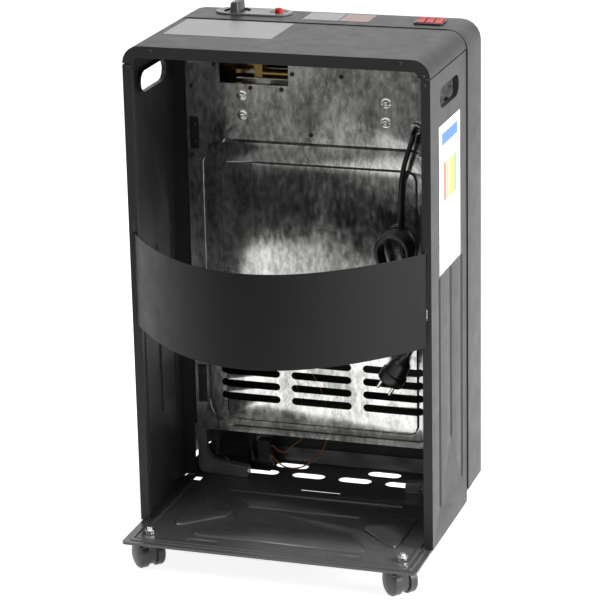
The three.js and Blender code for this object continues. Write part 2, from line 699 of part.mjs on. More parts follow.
function heatShield() {
  const half = SHIELD_WIDTH / 2;
  const front = SHIELD_REAR - SHIELD_SHEET;
  let shield = prism('y', rounded(
    rectangle(-half, half, SHIELD_BOTTOM, SHIELD_TOP), 2), front, SHIELD_REAR);
  shield = press(shield, 'y', rectangle(-170, 170, SHIELD_BOTTOM + 8, 556), [28, 28, 36, 36],
    4, SHIELD_REAR, PRESS_STEP, SHIELD_SHEET);
  shield = press(shield, 'y', rectangle(-142.5, 142.5, 142, 526.5), 14,
    3, SHIELD_REAR + PRESS_STEP, PRESS_STEP, SHIELD_SHEET);

  const cut = (shape) => {
    shield = shield.subtract(prism('y', shape, front - 3, SHIELD_CREST + 3));
  };
  for (let row = 0; row < 4; row += 1) {
    for (let column = -1; column <= 1; column += 1) {
      cut(slot(column * SLOT_PITCH_X, SLOT_LOW + row * SLOT_PITCH_Z,
        SLOT_LENGTH, SLOT_HEIGHT, 2));
    }
  }
  cut(rounded(rectangle(...VALVE_WINDOW, VALVE_WINDOW_SILL, SHIELD_TOP + 20), 1));
  CLIP_WINDOWS.forEach(([low, high]) => [1, -1].forEach((side) => {
    const x = [side * 174, side * 187].sort((a, b) => a - b);
    cut(rounded(rectangle(x[0], x[1], low, high), 1));
  }));
  const passage = rod('y', GLAND.hole + GAP, front - 3, SHIELD_CREST + 3, GLAND.x, GLAND.z, 20);
  const sill = box(VALVE_WINDOW[0], VALVE_WINDOW[1], front - 7, SHIELD_REAR,
    VALVE_WINDOW_SILL - SHIELD_SHEET, VALVE_WINDOW_SILL);
  return shield.subtract(passage).add(sill);
}

add('rear_heat_shield', heatShield(), ZINC);

// Bush that brings the mains cord through the shield
function cordBush() {
  const hole = CORD_DIAMETER / 2 + GAP;
  const rear = SHIELD_REAR + GAP;
  const profile = [
    [hole, rear - 6], [GLAND.hole, rear - 6], [GLAND.hole, rear],
    [8.5, rear], [8.5, rear + 2], [6.5, rear + 6.5], [hole, rear + 6.5], [hole, rear - 6],
  ];
  const points = profile.map(([radius, y]) => new THREE.Vector2(radius, y));
  return solidOf(new THREE.LatheGeometry(points, 14).translate(GLAND.x, 0, GLAND.z));
}

add('cord_bush', cordBush(), STEEL);

// ---------------------------------------------------------------- corner brackets

const BRACKET_REAR = FRAME_REAR - GAP - 6;
const BRACKET_DEPTH = 12;

function cornerBracket(side) {
  const low = BASE_TOP + GAP;
  const high = SHIELD_BOTTOM + 6;
  const wide = FRAME_HALF - 17.5;
  const near = wide - 76;
  const outline = new THREE.Shape();
  outline.moveTo(near, low);
  outline.lineTo(wide - 14, low);
  outline.quadraticCurveTo(wide, low, wide, low + 14);
  outline.lineTo(wide, high);
  outline.lineTo(wide - 13, high);
  outline.lineTo(wide - 13, low + 38);
  outline.quadraticCurveTo(wide - 15, low + 23, wide - 30, low + 20);
  outline.lineTo(wide - 54, low + 17);
  outline.lineTo(near, low + 15);
  const body = prism('y', outline, BRACKET_REAR - BRACKET_DEPTH, BRACKET_REAR);
  const block = box(near, near + 21, BRACKET_REAR - BRACKET_DEPTH, BRACKET_REAR + 3,
    low, low + 13);
  const rib = box(wide - 7.5, wide - 5.5, BRACKET_REAR - 2, BRACKET_REAR + 1.6,
    low + 16, high - 6);
  const shelfRib = box(near + 21, wide - 10, BRACKET_REAR - 2, BRACKET_REAR + 1.6,
    low + 6.5, low + 8);
  // Tab at the upper end, hooked beside the frame's rear flange
  const tab = box(wide - 10, MOUTH_HALF - 0.5, BRACKET_REAR - 4, FRAME_REAR - 0.5,
    high - 24, high);
  return mirrored(unite([body, block, rib, shelfRib, tab]), side);
}

add('corner_bracket_right', cornerBracket(1), GREY_PLASTIC);
add('corner_bracket_left', cornerBracket(-1), GREY_PLASTIC);

// ---------------------------------------------------------------- burner

const BURNER_REAR = FRAME_REAR;
const INJECTOR_PITCH = 98;
const BURNER_FRONT = BURNER_REAR - BURNER_DEPTH;
const BURNER_HALF = BURNER_WIDTH / 2;
const BURNER_MID = (BURNER_LOW + BURNER_HIGH) / 2;

function burnerBox() {
  const outer = box(-BURNER_HALF, BURNER_HALF, BURNER_FRONT, BURNER_REAR, BURNER_LOW, BURNER_HIGH);
  const hollow = box(-BURNER_HALF + SHEET, BURNER_HALF - SHEET, BURNER_FRONT - 5,
    BURNER_REAR - SHEET, BURNER_LOW + SHEET, BURNER_HIGH - SHEET);
  let burner = outer.subtract(hollow);
  // Ledge that the plaques rest against
  const ledge = box(-BURNER_HALF + 0.5, BURNER_HALF - 0.5, BURNER_FRONT + PLAQUE_THICK + GAP,
    BURNER_FRONT + PLAQUE_THICK + GAP + 2, BURNER_LOW + 0.5, BURNER_HIGH - 0.5);
  [-1, 0, 1].forEach((column) => {
    const x = column * (PLAQUE_WIDTH + 2);
    burner = column === -1 ? burner.add(ledge) : burner;
    burner = burner.subtract(box(x - PLAQUE_WIDTH / 2 + 6, x + PLAQUE_WIDTH / 2 - 6,
      BURNER_FRONT - 5, BURNER_FRONT + PLAQUE_THICK + GAP + 5,
      BURNER_LOW + 16, BURNER_HIGH - 16));
  });
  [-1, 0].forEach((column) => {
    burner = burner.subtract(rod('z', 4 + 2 * GAP, BURNER_HIGH - 4, BURNER_HIGH + 4,
      column * INJECTOR_PITCH, BURNER_REAR - 21.6, 16));
  });
  return burner;
}

add('burner_box', burnerBox(), ZINC);

function plaque(x) {
  const half = PLAQUE_WIDTH / 2;
  const tall = PLAQUE_HEIGHT / 2;
  let tile = box(x - half, x + half, BURNER_FRONT, BURNER_FRONT + PLAQUE_THICK,
    BURNER_MID - tall, BURNER_MID + tall);
  for (let i = -3; i <= 3; i += 1) {
    tile = tile.subtract(box(x + i * 12 - 2, x + i * 12 + 2, BURNER_FRONT - 2, BURNER_FRONT + 1.6,
      BURNER_MID - tall + 6, BURNER_MID + tall - 6));
  }
  return tile;
}

['right', 'centre', 'left'].forEach((name, i) => {
  add(`ceramic_plaque_${name}`, plaque((1 - i) * (PLAQUE_WIDTH + 2)), CERAMIC);
});

// ---------------------------------------------------------------- reflector and electric tubes

const PILOT = { x: 20, z: BURNER_LOW - 6 - GAP };
const REFLECTOR_HALF = REFLECTOR_WIDTH / 2;
const LIP_REAR = FRAME_FRONT + WINDOW_LIP;

function reflector() {
  const edge = LIP_REAR + GAP;
  const back = -REFLECTOR_BACK;
  const wall = REFLECTOR_SHEET;
  const flange = box(-REFLECTOR_HALF - 9, REFLECTOR_HALF + 9, edge, edge + wall,
    REFLECTOR_LOW - 9, REFLECTOR_HIGH + 9);
  const shell = pressing('y', rectangle(
    -REFLECTOR_HALF, REFLECTOR_HALF, REFLECTOR_LOW, REFLECTOR_HIGH), 4, 6, edge, back);
  const hollow = pressing('y', rectangle(
    -REFLECTOR_HALF + wall, REFLECTOR_HALF - wall, REFLECTOR_LOW + wall, REFLECTOR_HIGH - wall),
  4, 6, edge - 1, back - wall);
  const passage = box(-BURNER_HALF - 0.5, BURNER_HALF + 0.5, edge - 5, back + 5,
    BURNER_LOW - 0.5, BURNER_HIGH + 0.5);
  const pilotPassage = box(PILOT.x - 12.5, PILOT.x + 12.5, edge - 5, back + 5,
    PILOT.z - 6.5, BURNER_LOW);
  return flange.add(shell).subtract(hollow).subtract(passage).subtract(pilotPassage);
}

add('reflector', reflector(), STEEL);

const TUBE_Y = -REFLECTOR_BACK - TUBE_STAND;
const HOLDER_X = TUBE_LENGTH / 2 - 8;
const HOLDER_LOW = TUBE_LOW - 16;
const HOLDER_HIGH = TUBE_LOW + 2 * TUBE_PITCH + 16;

function tubeHolder(side) {
  const x = side * HOLDER_X;
  const floor = -REFLECTOR_BACK - REFLECTOR_SHEET - GAP;
  let holder = box(x - 0.75, x + 0.75, TUBE_Y - 9, floor, HOLDER_LOW, HOLDER_HIGH);
  const foot = side > 0 ? [x - 12, x] : [x, x + 12];
  holder = holder.add(box(foot[0], foot[1], floor - 1.5, floor, HOLDER_LOW, HOLDER_HIGH));
  for (let i = 0; i < 3; i += 1) {
    holder = holder.subtract(rod('x', TUBE_CAP_RADIUS + GAP, x - 3, x + 3,
      TUBE_Y, TUBE_LOW + i * TUBE_PITCH, 20));
  }
  return holder;
}

add('tube_holder_right', tubeHolder(1), ZINC);
add('tube_holder_left', tubeHolder(-1), ZINC);

for (let i = 0; i < 3; i += 1) {
  const z = TUBE_LOW + i * TUBE_PITCH;
  const half = TUBE_LENGTH / 2;
  const tube = unite([
    rod('x', TUBE_RADIUS, -half + 4, half - 4, TUBE_Y, z, 16),
    rod('x', TUBE_CAP_RADIUS, half - 18, half, TUBE_Y, z, 16),
    rod('x', TUBE_CAP_RADIUS, -half, -half + 18, TUBE_Y, z, 16),
  ]);
  add(`quartz_tube_${i + 1}`, tube, QUARTZ);
}

// ---------------------------------------------------------------- guard grille

function guardGrille() {
  const y = FRAME_FRONT + WINDOW_LIP - 4.5;
  const edge = WINDOW_WIDTH / 2 - GAP - 2.2;
  const low = WINDOW_LOW + GAP + 2.2;
  const high = WINDOW_HIGH - GAP - 2.2;
  const wires = [];
  [-1, 1].forEach((side) => {
    wires.push(rod('z', 2.2, low - 1.6, high + 1.6, side * edge, y, 6));
  });
  [low, high].forEach((z) => wires.push(rod('x', 2.2, -edge - 1, edge + 1, y, z, 6)));
  const rows = [low + 104, high - 104];
  rows.forEach((z) => wires.push(rod('x', 1.8, -edge, edge, y + 2, z, 4)));
  for (let i = 1; i < 11; i += 1) {
    wires.push(rod('z', 1.5, low, high, -edge + 2 * edge * i / 11, y, 4));
  }
  return unite(wires);
}

add('guard_grille', guardGrille(), STEEL);

// ---------------------------------------------------------------- gas valve and feed

const VALVE_HIGH = FRAME_TOP - KNOB_SINK - KNOB_PRESS - 2;
const RAIL_Z = BURNER_HIGH + 16;
const RAIL_Y = FRAME_REAR - 21.6;
const RAIL_END = KNOB_X - 33;
const VALVE_SIDE = KNOB_X + 21 + GAP;     // where the switch leads plug in

function gasValve() {
  const barrel = turned([
    [0, 640], [13, 640], [13, 652], [16, 655], [16, 690], [11, 694], [11, VALVE_HIGH],
    [0, VALVE_HIGH],
  ], KNOB_X, CONTROL_Y, 16);
  const tailX = KNOB_X - 10;
  const block = box(KNOB_X - 23, VALVE_SIDE - GAP, CONTROL_Y - 13, CONTROL_Y + 17, 646, 682);
  const outlet = rod('x', 8, RAIL_END, KNOB_X - 9, RAIL_Y - 16, RAIL_Z + 8, 12);
  const inlet = rod('y', 9, CONTROL_Y + 15, CONTROL_Y + 33, tailX, 668, 12);
  const tail = rod('y', 5, CONTROL_Y + 31, FRAME_REAR - 1, tailX, 668, 12);
  const barbs = [12, 7, 3].map((back) => rod('y', 6, FRAME_REAR - back, FRAME_REAR - back + 2,
    tailX, 668, 12));
  // Two posts hang the valve from the top of the frame, outside the knob's recess
  const bar = box(KNOB_X - 27, KNOB_X + 27, CONTROL_Y - 4, CONTROL_Y + 4, 684, 690);
  const posts = [-1, 1].map((side) => rod('z', 3.4, 686, FRAME_TOP - FRAME_SHEET - GAP,
    KNOB_X + side * 23, CONTROL_Y, 8));
  const bore = rod('z', STUD_RADIUS + GAP, VALVE_HIGH - 20 - KNOB_PRESS, VALVE_HIGH + 1,
    KNOB_X, CONTROL_Y, 12);
  return unite([barrel, block, outlet, inlet, tail, ...barbs, bar, ...posts]).subtract(bore);
}

add('gas_valve_body', gasValve(), BRASS);

// Rail that feeds one injector over each plaque
function injectorRail() {
  const left = -PLAQUE_WIDTH - 20;
  const rail = rod('x', 6, left, RAIL_END - 4, RAIL_Y, RAIL_Z, 12);
  const jets = [-1, 0].map((column) => rod('z', 4, BURNER_HIGH - 2.5, RAIL_Z,
    column * INJECTOR_PITCH, RAIL_Y, 10));
  const elbow = box(RAIL_END - 12, RAIL_END - GAP, RAIL_Y - 24, RAIL_Y + 6,
    RAIL_Z - 6, RAIL_Z + 14);
  return unite([rail, ...jets, elbow]);
}

add('injector_rail', injectorRail(), BRASS);

// Inner rod that the pressed knob pushes down, and the spindle that turns above it
const PUSH_TOP = VALVE_HIGH - 12;
const pushRod = rod('z', STUD_RADIUS - 0.2, VALVE_HIGH - 18, PUSH_TOP, KNOB_X, CONTROL_Y, 12);
add('valve_push_rod', pushRod, STEEL);

const KNOB_LOW = FRAME_TOP - KNOB_SINK;

function valveSpindle() {
  return rod('z', STUD_RADIUS - 0.2, PUSH_TOP + GAP, KNOB_LOW + 8, KNOB_X, CONTROL_Y, 12);
}

add('valve_spindle', valveSpindle(), STEEL);

function gasKnob() {
  const skirt = turned([
    [0, KNOB_LOW], [KNOB_RADIUS, KNOB_LOW], [KNOB_RADIUS, KNOB_LOW + KNOB_SKIRT - 1.5],
    [KNOB_RADIUS - 1.5, KNOB_LOW + KNOB_SKIRT], [0, KNOB_LOW + KNOB_SKIRT],
  ], KNOB_X, CONTROL_Y, 28);
  const [length, width] = KNOB_GRIP;
  const corners = rectangle(KNOB_X - width / 2, KNOB_X + width / 2,
    CONTROL_Y - length / 2, CONTROL_Y + length / 2);
  const top = KNOB_LOW + KNOB_TALL;
  const foot = roundedPoints(corners, 4, -0.8, 4);
  const shoulder = roundedPoints(corners, 4, 0.4, 4);
  const crown = roundedPoints(corners, 4, 2.2, 4);
  const grip = stack('z', [foot, shoulder, crown], [KNOB_LOW + 2, top - 2, top]);
  const bore = rod('z', STUD_RADIUS - 0.2 + GAP, KNOB_LOW - 1, KNOB_LOW + 8 + GAP,
    KNOB_X, CONTROL_Y, 12);
  return skirt.add(grip).subtract(bore);
}

add('gas_knob', gasKnob(), BLACK_PLASTIC);

// ---------------------------------------------------------------- igniter and control plate

const PIEZO_TOP = PLATE_TOP + PIEZO_STAND;

function controlPlate() {
  const [pastKnob, pastPiezo, width] = CONTROL_PLATE;
  const from = PIEZO_X - pastPiezo;
  const to = KNOB_X + pastKnob;
  const plate = prism('z', slot((from + to) / 2, CONTROL_Y, to - from, width),
    PLATE_LOW, PLATE_TOP);
  const knobWell = rod('z', KNOB_WELL, PLATE_LOW - 1, PLATE_TOP + 1, KNOB_X, CONTROL_Y, 28);
  const piezoWell = rod('z', PIEZO_COLLAR + GAP, PLATE_LOW - 1, PLATE_TOP + 1,
    PIEZO_X, CONTROL_Y, 24);
  return plate.subtract(knobWell).subtract(piezoWell);
}

add('control_plate', controlPlate(), GREY_PLASTIC);

function piezoBody() {
  const low = FRAME_TOP - 52;
  const nut = FRAME_TOP - FRAME_SHEET - GAP;
  const collar = PLATE_TOP - 0.5;
  const barrel = turned([
    [0, low], [PIEZO_BARREL, low], [PIEZO_BARREL, nut - 5],
    [PIEZO_COLLAR, nut - 5], [PIEZO_COLLAR, nut], [PIEZO_BARREL, nut], [PIEZO_BARREL, PLATE_LOW],
    [PIEZO_COLLAR, PLATE_LOW], [PIEZO_COLLAR, collar], [0, collar],
  ], PIEZO_X, CONTROL_Y, 20);
  const bore = rod('z', PIEZO_RADIUS + GAP, PLATE_TOP - 11 - PIEZO_PRESS, PLATE_TOP + 1,
    PIEZO_X, CONTROL_Y, 20);
  return barrel.subtract(bore);
}

add('piezo_igniter', piezoBody(), BLACK_PLASTIC);

const piezoButton = turned([
  [0, PLATE_TOP - 9], [PIEZO_RADIUS, PLATE_TOP - 9], [PIEZO_RADIUS, PIEZO_TOP - 1.5],
  [PIEZO_RADIUS - 1.6, PIEZO_TOP - 0.4], [0, PIEZO_TOP],
], PIEZO_X, CONTROL_Y, 20);
add('piezo_button', piezoButton, RED_PLASTIC);

// ---------------------------------------------------------------- rocker switches

const ROCKER_PIVOT_Z = PLATE_TOP - 3;

function switchBezel() {
  const [bodyX, bodyY] = SWITCH_BODY;
  const corners = rectangle(SWITCH_X - bodyX / 2 - 2, SWITCH_X + bodyX / 2 + 2,
    SWITCH_Y - bodyY / 2 - 2, SWITCH_Y + bodyY / 2 + 2);
  const collar = prism('z', rounded(corners, 5), PLATE_LOW, PLATE_TOP);
  let bezel = collar.add(box(SWITCH_X - bodyX / 2, SWITCH_X + bodyX / 2,
    SWITCH_Y - bodyY / 2, SWITCH_Y + bodyY / 2, PLATE_LOW - 24, PLATE_LOW + 1));
  for (let i = -1; i <= 1; i += 1) {
    const x = SWITCH_X + i * SWITCH_PITCH;
    bezel = bezel.subtract(box(x - ROCKER_WIDTH / 2 - GAP, x + ROCKER_WIDTH / 2 + GAP,
      SWITCH_Y - ROCKER_LENGTH / 2 - 0.8, SWITCH_Y + ROCKER_LENGTH / 2 + 0.8,
      ROCKER_PIVOT_Z - 8, PLATE_TOP + 1));
  }
  return bezel;
}

add('switch_bezel', switchBezel(), BLACK_PLASTIC);

function rocker(x) {
  const half = ROCKER_LENGTH / 2;
  const outline = new THREE.Shape();
  outline.moveTo(-half, 3.4);
  outline.lineTo(-half + 0.6, -0.6);
  outline.lineTo(-2.5, -4.2);
  outline.lineTo(2.5, -4.2);
  outline.lineTo(half - 0.6, -0.6);
  outline.lineTo(half, 3.4);
  outline.lineTo(half - 3, 5.2);
  outline.lineTo(0, 3.6);
  outline.lineTo(-half + 3, 5.2);
  const cap = prism('x', outline, -ROCKER_WIDTH / 2, ROCKER_WIDTH / 2);
  const turn = new THREE.Matrix4().makeRotationX(THREE.MathUtils.degToRad(-ROCKER_TILT));
  return moved(cap, turn.setPosition(x, SWITCH_Y, ROCKER_PIVOT_Z));
}

[1, 0, -1].forEach((i, k) => {
  add(`rocker_switch_${k + 1}`, rocker(SWITCH_X + i * SWITCH_PITCH), RED_PLASTIC);
});

// ---------------------------------------------------------------- tilt switch

const TILT = { x: 112, y: -228, low: BASE_TOP + GAP };
const TILT_PIVOT = { x: TILT.x + 12, z: TILT.low + 44 };

function tiltBracket() {
  const plate = box(TILT.x - 18, TILT.x + 20, TILT.y - 9.2, TILT.y - 8, TILT.low, TILT.low + 52);
  const foot = box(TILT.x - 18, TILT.x + 20, TILT.y - 9.2, TILT.y + 8, TILT.low, TILT.low + 1.2);
  const pin = rod('y', 1.6, TILT.y - 8.6, TILT.y + 6, TILT_PIVOT.x, TILT_PIVOT.z, 12);
  return unite([plate, foot, pin]);
}

add('tilt_switch_bracket', tiltBracket(), ZINC);

const tiltBody = box(TILT.x - 17, TILT.x + 1, TILT.y - 8 + GAP, TILT.y + 7,
  TILT.low + 16, TILT.low + 46);
add('tilt_switch_body', tiltBody, BLACK_PLASTIC);

function tiltWeight() {
  const { x, z } = TILT_PIVOT;
  const eye = rod('y', 3.6, TILT.y - 2, TILT.y + 2, x, z, 16);
  const arm = box(x - 1.2, x + 1.2, TILT.y - 1.2, TILT.y + 1.2, z - 20, z);
  const bob = turned([[0, z - 32], [5, z - 32], [5, z - 20], [3, z - 17], [0, z - 17]],
    x, TILT.y, 12);
  return unite([eye, arm, bob]).subtract(rod('y', 1.6 + GAP, TILT.y - 5, TILT.y + 5, x, z, 12));
}

add('tilt_switch_weight', tiltWeight(), BRASS);

// Leads from the tilt switch to the valve: they sag below the shield, then climb behind it
const LEAD_DIAMETER = 2.2;
const LEAD_A = [
  [TILT.x - 17.6, -226, 88], [91, -226, 87.6], [85, -226, 82], [76, -227, 79],
  [62, -228, 90], [46, -229, 106], [44, -226, 150], [70, -215, 230], [140, -205, 300],
  [163, -202, 340], [166, -202, 420],
  [166, -202, 520], [166, -204, 610], [168, -216, 655], [164, -228, 668],
  [VALVE_SIDE, -230, 670],
];
const LEAD_B = [
  [TILT.x - 17.6, -222, 74], [91, -222, 73], [85, -223, 66], [72, -224, 57.5],
  [52, -225, 58], [32, -226, 70],
  [14, -226, 92], [8, -225, 120], [14, -222, 180], [60, -212, 250], [140, -208, 306],
  [168, -209, 344], [171, -209, 420], [171, -209, 520], [172, -210, 610], [174, -220, 652],
  [166, -236, 660], [VALVE_SIDE, -237, 660],
];
add('tilt_lead_upper', cable(through(LEAD_A), LEAD_DIAMETER, 40, 5), BROWN_WIRE);
add('tilt_lead_lower', cable(through(LEAD_B), LEAD_DIAMETER, 44, 5), BROWN_WIRE);

// ---------------------------------------------------------------- pilot burner

function pilotBurner() {
  const low = PILOT.z - 6;
  const body = box(PILOT.x - 12, PILOT.x + 12, -240, BURNER_FRONT + 10, low, PILOT.z + 6);
  const nozzle = rod('z', 3, PILOT.z, PILOT.z + 13, PILOT.x - 6, -244, 10);
  const arm = box(PILOT.x - 9, PILOT.x - 3, -247, -238, low, low + 8);
  const probe = rod('z', 2, PILOT.z, PILOT.z + 12, PILOT.x + 7, -240 - 2, 10);
  const probeArm = box(PILOT.x + 4, PILOT.x + 10, -245, -238, low, low + 8);
  return unite([body, nozzle, arm, probe, probeArm]);
}

add('pilot_burner', pilotBurner(), STEEL);

// ---------------------------------------------------------------- castors

function castorStud() {
  return turned([
    [0, 34], [STUD_RADIUS, 34], [STUD_RADIUS, BASE_TOP - SHEET - GAP - 2.6],
    [9, BASE_TOP - SHEET - GAP - 2.6], [9, BASE_TOP - SHEET - GAP],
    [STUD_RADIUS, BASE_TOP - SHEET - GAP], [STUD_RADIUS, BASE_TOP + GAP],
    [7.5, BASE_TOP + GAP], [7.5, BASE_TOP + GAP + 6.5],
    [STUD_RADIUS, BASE_TOP + GAP + 6.5], [STUD_RADIUS, BASE_TOP + 11], [0, BASE_TOP + 11],
  ], 0, 0, 10);
}

function castorBody() {
  const top = BASE_TOP - SHEET - 2 * GAP - 3;
  const reach = CASTOR_WEB / 2 + WHEEL_WIDTH - WHEEL_CAP - GAP;
  const axle = rod('y', AXLE_RADIUS, -reach, reach, CASTOR_TRAIL, WHEEL_RADIUS, 12);
  const disc = rod('y', WHEEL_RADIUS - 3, -CASTOR_WEB / 2, CASTOR_WEB / 2,
    CASTOR_TRAIL, WHEEL_RADIUS, 12);
  const brow = 2 * WHEEL_RADIUS + 0.5;
  const boss = turned([[0, brow], [9, brow], [9, top], [0, top]], 0, 0, 12);
  const span = CASTOR_WEB / 2 + WHEEL_WIDTH;
  const ceiling = rod('y', WHEEL_RADIUS + 3.4, -span, span, CASTOR_TRAIL, WHEEL_RADIUS, 18);
  const room = rod('y', WHEEL_RADIUS + 1.2, -60, 60, CASTOR_TRAIL, WHEEL_RADIUS, 18);
  const wedge = new THREE.Shape([[-9, top], [-9, 34], [2, 34], [16, top]]
    .map(([x, z]) => new THREE.Vector2(x, z)).reverse());
  const hood = ceiling.subtract(room).intersect(prism('y', wedge, -60, 60));
  const neck = box(-7, CASTOR_TRAIL, -CASTOR_WEB / 2, CASTOR_WEB / 2, 20, top);
  const socket = rod('z', STUD_RADIUS + GAP, 34 - GAP, 60, 0, 0, 12);
  return unite([disc, boss, hood, neck]).subtract(socket).add(axle);
}

function castorWheel(side) {
  const inner = CASTOR_WEB / 2 + GAP;
  const outer = inner + WHEEL_WIDTH;
  const hole = AXLE_RADIUS + GAP;
  const profile = [
    [hole, inner], [WHEEL_RADIUS, inner], [WHEEL_RADIUS, outer - 5.5],
    [WHEEL_RADIUS - 1.6, outer - 3.2], [WHEEL_RADIUS - 6, outer - 1.2], [0, outer],
    [0, outer - WHEEL_CAP], [hole, outer - WHEEL_CAP], [hole, inner],
  ];
  const points = profile.map(([radius, y]) => new THREE.Vector2(radius, y));
  const wheel = solidOf(new THREE.LatheGeometry(points, 20)
    .translate(CASTOR_TRAIL, 0, WHEEL_RADIUS));
  return side > 0 ? wheel : moved(wheel, new THREE.Matrix4().makeScale(1, -1, 1));
}

CASTORS.forEach(({ name, x, y }) => {
  const castor = new THREE.Group();
  castor.position.set(x, y, 0);
  castor.rotation.z = THREE.MathUtils.degToRad(CASTOR_TURN);
  heater.add(castor);
  add(`castor_stud_${name}`, castorStud(), STEEL, castor);
  add(`castor_body_${name}`, castorBody(), BLACK_PLASTIC, castor);
  add(`castor_wheel_${name}_outer`, castorWheel(1), BLACK_PLASTIC, castor);
  add(`castor_wheel_${name}_inner`, castorWheel(-1), BLACK_PLASTIC, castor);
});

// ---------------------------------------------------------------- mains cord

// The hank: down the near run, round the lower fold, up the far run, round the upper fold.
const RUN = HANK_TOP - HANK_BOTTOM - 2 * HANK_FOLD;
const FOLD = Math.PI * HANK_FOLD;
const LOOP = 2 * (RUN + FOLD);
const HANK_MIDDLE = (HANK_TOP + HANK_BOTTOM) / 2;

function drawIn(share) {
  return HANK_WAIST * (0.5 - 0.5 * Math.cos(2 * Math.PI * share));
}

// Place on the centre line after a distance, counted from the top of the first near run.
function hankPlace(distance) {
  const loop = Math.floor(distance / LOOP);
  let along = distance - loop * LOOP;
  const layer = loop + THREE.MathUtils.smoothstep(along, RUN + FOLD, 2 * RUN + FOLD);
  const y = HANK_Y + HANK_PITCH * layer;
  if (along < RUN) {
    const x = HANK_X - HANK_FOLD + drawIn(along / RUN);
    return new THREE.Vector3(x, y, HANK_TOP - HANK_FOLD - along);
  }
  along -= RUN;
  if (along < FOLD) {
    const turn = along / HANK_FOLD;
    return new THREE.Vector3(HANK_X - HANK_FOLD * Math.cos(turn), y,
      HANK_BOTTOM + HANK_FOLD - HANK_FOLD * Math.sin(turn));
  }
  along -= FOLD;
  if (along < RUN) {
    const x = HANK_X + HANK_FOLD - drawIn(along / RUN);
    return new THREE.Vector3(x, y, HANK_BOTTOM + HANK_FOLD + along);
  }
  along -= RUN;
  const turn = along / HANK_FOLD;
  return new THREE.Vector3(HANK_X + HANK_FOLD * Math.cos(turn), y,
    HANK_TOP - HANK_FOLD + HANK_FOLD * Math.sin(turn));
}

const HANK_START = RUN / 2;
const HANK_LENGTH = HANK_LOOPS * LOOP + RUN - HANK_START;
const hankRoute = new Route((t) => hankPlace(HANK_START + t * HANK_LENGTH));

// Least gap between turns of the hank, measured on points of its centre line
function leastGap(route, diameter) {
  const count = 700;
  const points = route.getSpacedPoints(count);
  const apart = Math.ceil(4 * diameter / (route.getLength() / count));
  let least = Infinity;
  for (let i = 0; i < count; i += 1) {
    for (let j = i + apart; j <= count; j += 1) {
      least = Math.min(least, points[i].distanceTo(points[j]));
    }
  }
  return least - diameter;
}

console.log(`hank: least gap to itself ${leastGap(hankRoute, CORD_DIAMETER).toFixed(2)} mm`);

const hankIn = hankPlace(HANK_START);
const hankOut = hankPlace(HANK_START + HANK_LENGTH);
const CORD_ROUTE = [
  [GLAND.x, SHIELD_REAR + GAP + 6.5 + GAP, GLAND.z],
  [GLAND.x, -166, GLAND.z - 3],
  [-140, -162, 575],
  [-134, -162, 556],
  [-127, -165, 534],
  [-122, -168, 506],
  [-120, -171, 470],
  [-121, -171, 430],
  [-125, -170.5, 398],
  [hankIn.x, hankIn.y, hankIn.z + 6],
  [hankIn.x, hankIn.y, hankIn.z + GAP],
];
const cordRoute = through(CORD_ROUTE);
add('mains_cord', cable(cordRoute, CORD_DIAMETER, 16, 8), CORD_RUBBER);
const hankSteps = Math.round(24 * HANK_LENGTH / LOOP);
add('cord_hank', cable(hankRoute, CORD_DIAMETER, hankSteps, 6), CORD_RUBBER);

function cordTie() {
  const bulk = CORD_DIAMETER / 2 + 0.8;
  const x = HANK_FOLD - HANK_WAIST + bulk;
  const y0 = HANK_Y - bulk;
  const y1 = HANK_Y + HANK_PITCH * HANK_LOOPS + bulk;
  const corners = rectangle(HANK_X - x, HANK_X + x, y0, y1);
  const ring = rounded(corners.map(([u, v]) => [u, v]), 4, -1.2);
  ring.holes.push(new THREE.Path(roundedPoints(corners, 4, 0)));
  return prism('z', ring, HANK_MIDDLE - TIE_HEIGHT / 2, HANK_MIDDLE + TIE_HEIGHT / 2);
}

add('cord_tie', cordTie(), BLACK_PLASTIC);

// Straight plug: round body with two pins that point down and to the right
const PLUG = { radius: 19, body: 34, pin: 2.4, pinLength: 19, pinSpread: 9.5, neck: 58 };
const plugFace = new THREE.Vector3(-112, -138, 236);
const plugAxis = new THREE.Vector3(0.53, 0, -0.85).normalize();
const plugTurn = new THREE.Quaternion().setFromUnitVectors(new THREE.Vector3(0, 0, 1), plugAxis);
const plugFrame = new THREE.Matrix4().compose(plugFace, plugTurn, new THREE.Vector3(1, 1, 1));

function mainsPlug() {
  const { radius, body, pin, pinLength, pinSpread, neck } = PLUG;
  const shell = turned([
    [0, -neck], [4.4, -neck], [4.8, -body - 10], [8, -body - 6], [13, -body], [15, -body + 12],
    [16, -17], [radius, -15], [radius, 0], [radius - 2.5, 0], [radius - 2.5, -3], [0, -3],
  ], 0, 0, 20);
  const pins = [-1, 1].map((side) => rod('z', pin, -5, pinLength, side * pinSpread, 0, 8));
  return moved(unite([shell, ...pins]), plugFrame);
}

add('mains_plug', mainsPlug(), BLACK_PLASTIC);

const plugMouth = new THREE.Vector3(0, 0, -PLUG.neck - GAP).applyMatrix4(plugFrame);
const plugLead = new THREE.Vector3(0, 0, -PLUG.neck - 6).applyMatrix4(plugFrame);
const TAIL_ROUTE = [
  [hankOut.x, hankOut.y, hankOut.z - GAP],
  [hankOut.x, hankOut.y, hankOut.z - 10],
  plugLead.toArray(),
  plugMouth.toArray(),
];
const tailRoute = through(TAIL_ROUTE);
add('cord_tail', cable(tailRoute, CORD_DIAMETER, 8, 8), CORD_RUBBER);

// ---------------------------------------------------------------- origin under the middle

const REAR_MOST = strapY(0);
heater.position.y = -(REAR_MOST + FRAME_FRONT) / 2;

export default heater;
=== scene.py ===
"""Looks of the portable gas cabinet heater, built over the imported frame.

Lengths are written in millimetres in the frame's own directions: x to the right seen from the
front, y from the rear face of the cabinet (negative towards the front), z up from the floor.
"""

import json
import math

